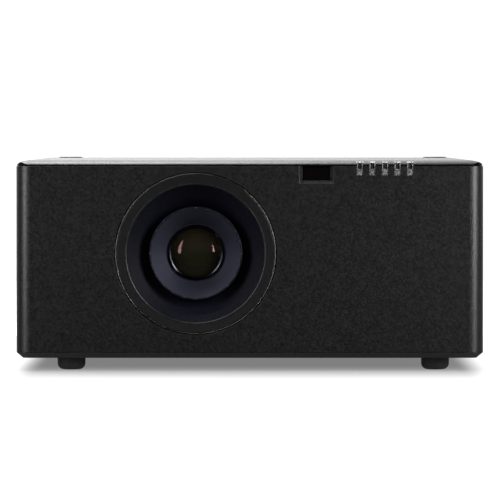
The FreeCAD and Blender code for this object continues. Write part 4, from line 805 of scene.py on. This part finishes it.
def studio_world():
    """White to the camera; for light, brighter behind the object than in front of it."""
    world = bpy.data.worlds.new("studio")
    world.use_nodes = True
    tree = world.node_tree
    tree.nodes.clear()
    out = tree.nodes.new("ShaderNodeOutputWorld")
    sky = tree.nodes.new("ShaderNodeBackground")
    seen = tree.nodes.new("ShaderNodeBackground")
    seen.inputs["Color"].default_value = (1.0, 1.0, 1.0, 1.0)
    seen.inputs["Strength"].default_value = 1.1
    mixed = tree.nodes.new("ShaderNodeMixShader")
    rays = tree.nodes.new("ShaderNodeLightPath")
    place = tree.nodes.new("ShaderNodeTexCoord")
    axes = tree.nodes.new("ShaderNodeSeparateXYZ")
    tree.links.new(place.outputs["Generated"], axes.inputs[0])

    def ramp(axis, low, high, to_low, to_high):
        made = tree.nodes.new("ShaderNodeMapRange")
        values = {"From Min": low, "From Max": high, "To Min": to_low, "To Max": to_high}
        for key, value in values.items():
            made.inputs[key].default_value = value
        tree.links.new(axes.outputs[axis] if isinstance(axis, str) else axis, made.inputs["Value"])
        return made.outputs["Result"]

    def both(operation, one, two):
        made = tree.nodes.new("ShaderNodeMath")
        made.operation = operation
        for index, value in enumerate((one, two)):
            if isinstance(value, (int, float)):
                made.inputs[index].default_value = value
            else:
                tree.links.new(value, made.inputs[index])
        return made.outputs[0]

    aside = both("ABSOLUTE", axes.outputs["X"], 0.0)
    arch = both("MULTIPLY", ramp(aside, 0.65, 0.30, 0.0, 1.0), ramp("Y", -0.35, 0.75, *WORLD_ARCH))
    arch = both("MULTIPLY", arch, ramp("X", -0.05, 0.05, 1.06, 0.62))
    sides = ramp("Y", -0.25, 0.35, WORLD_FRONT, WORLD_SIDE)
    above = ramp("Z", -0.04, 0.0, 0.1, 1.0)
    tree.links.new(both("MULTIPLY", above, both("ADD", arch, sides)), sky.inputs["Strength"])
    tree.links.new(rays.outputs["Is Camera Ray"], mixed.inputs[0])
    tree.links.new(sky.outputs[0], mixed.inputs[1])
    tree.links.new(seen.outputs[0], mixed.inputs[2])
    tree.links.new(mixed.outputs[0], out.inputs["Surface"])
    bpy.context.scene.world = world


PAINTED_SHADOW_GLOW = 0.215                       # the floor's glow under the object: the painted shadow's brightness
FLOOR_WHITE = 1.05                       # and round it
FLOOR_TONE = 0.10
BACKDROP_TONE = 0.38
PAINTED_SHADOW_SIDE = (0.195, 0.228)          # the painted shadow goes from grey to white between these
PAINTED_SHADOW_FRONT = (-0.13, -0.56)
PAINTED_SHADOW_REAR = (0.20, 0.32)
FLOOR_NEAR = 0.62                        # radius of the inner floor
FLOOR_FAR = 2.6                          # and of the backdrop round it
WORLD_FRONT = 0.03                       # the room's light in front of the object
WORLD_SIDE = 0.38                        # and behind it
WORLD_ARCH = (0.0, 2.35)                 # the bright arch from above the object to behind it
CAMERA_PLACE = (0.0002, -4.954, 0.2194)
CAMERA_PITCH = 1.31                      # degrees below level
CAMERA_LENS = 366.7

floor()
studio_world()
key_left = soft_box("soft_left", (-0.74, -0.78, 0.42), (-0.12, -0.25, 0.13), 0.36, 0.76, 7.8)
key_right = soft_box("soft_right", (0.785, -0.825, 0.46), (0.10, -0.25, 0.14), 0.36, 0.72, 17.0)
soft_box("soft_top", (-0.36, 0.06, 1.10), (-0.30, 0.06, 0.0), 1.15, 0.85, 8.0)
soft_box("soft_rear_left", (-1.7, 1.5, 1.0), (0.0, 0.1, 0.15), 1.2, 1.3, 3.4)
soft_box("soft_rear_right", (1.7, 1.5, 1.0), (0.0, 0.1, 0.15), 1.2, 1.3, 3.4)

# The key lights leave the lid out, so that they don't bleach it as seen from behind.
unlit = bpy.data.collections.new("lid_without_glare")
for node in ("top_cover", "cover_caps"):
    unlit.objects.link(NODES[node])
for entry in unlit.collection_objects:
    entry.light_linking.link_state = "EXCLUDE"
for lamp in (key_left, key_right):
    lamp.light_linking.receiver_collection = unlit

camera = bpy.data.objects.new("camera", bpy.data.cameras.new("camera"))
camera.data.lens = CAMERA_LENS
camera.data.sensor_width = 36.0
camera.data.clip_end = 50.0
camera.location = CAMERA_PLACE
camera.rotation_euler = (math.radians(90.0 - CAMERA_PITCH), 0.0, 0.0)
bpy.context.scene.collection.objects.link(camera)
bpy.context.scene.camera = camera
bpy.context.scene.view_settings.view_transform = "Standard"
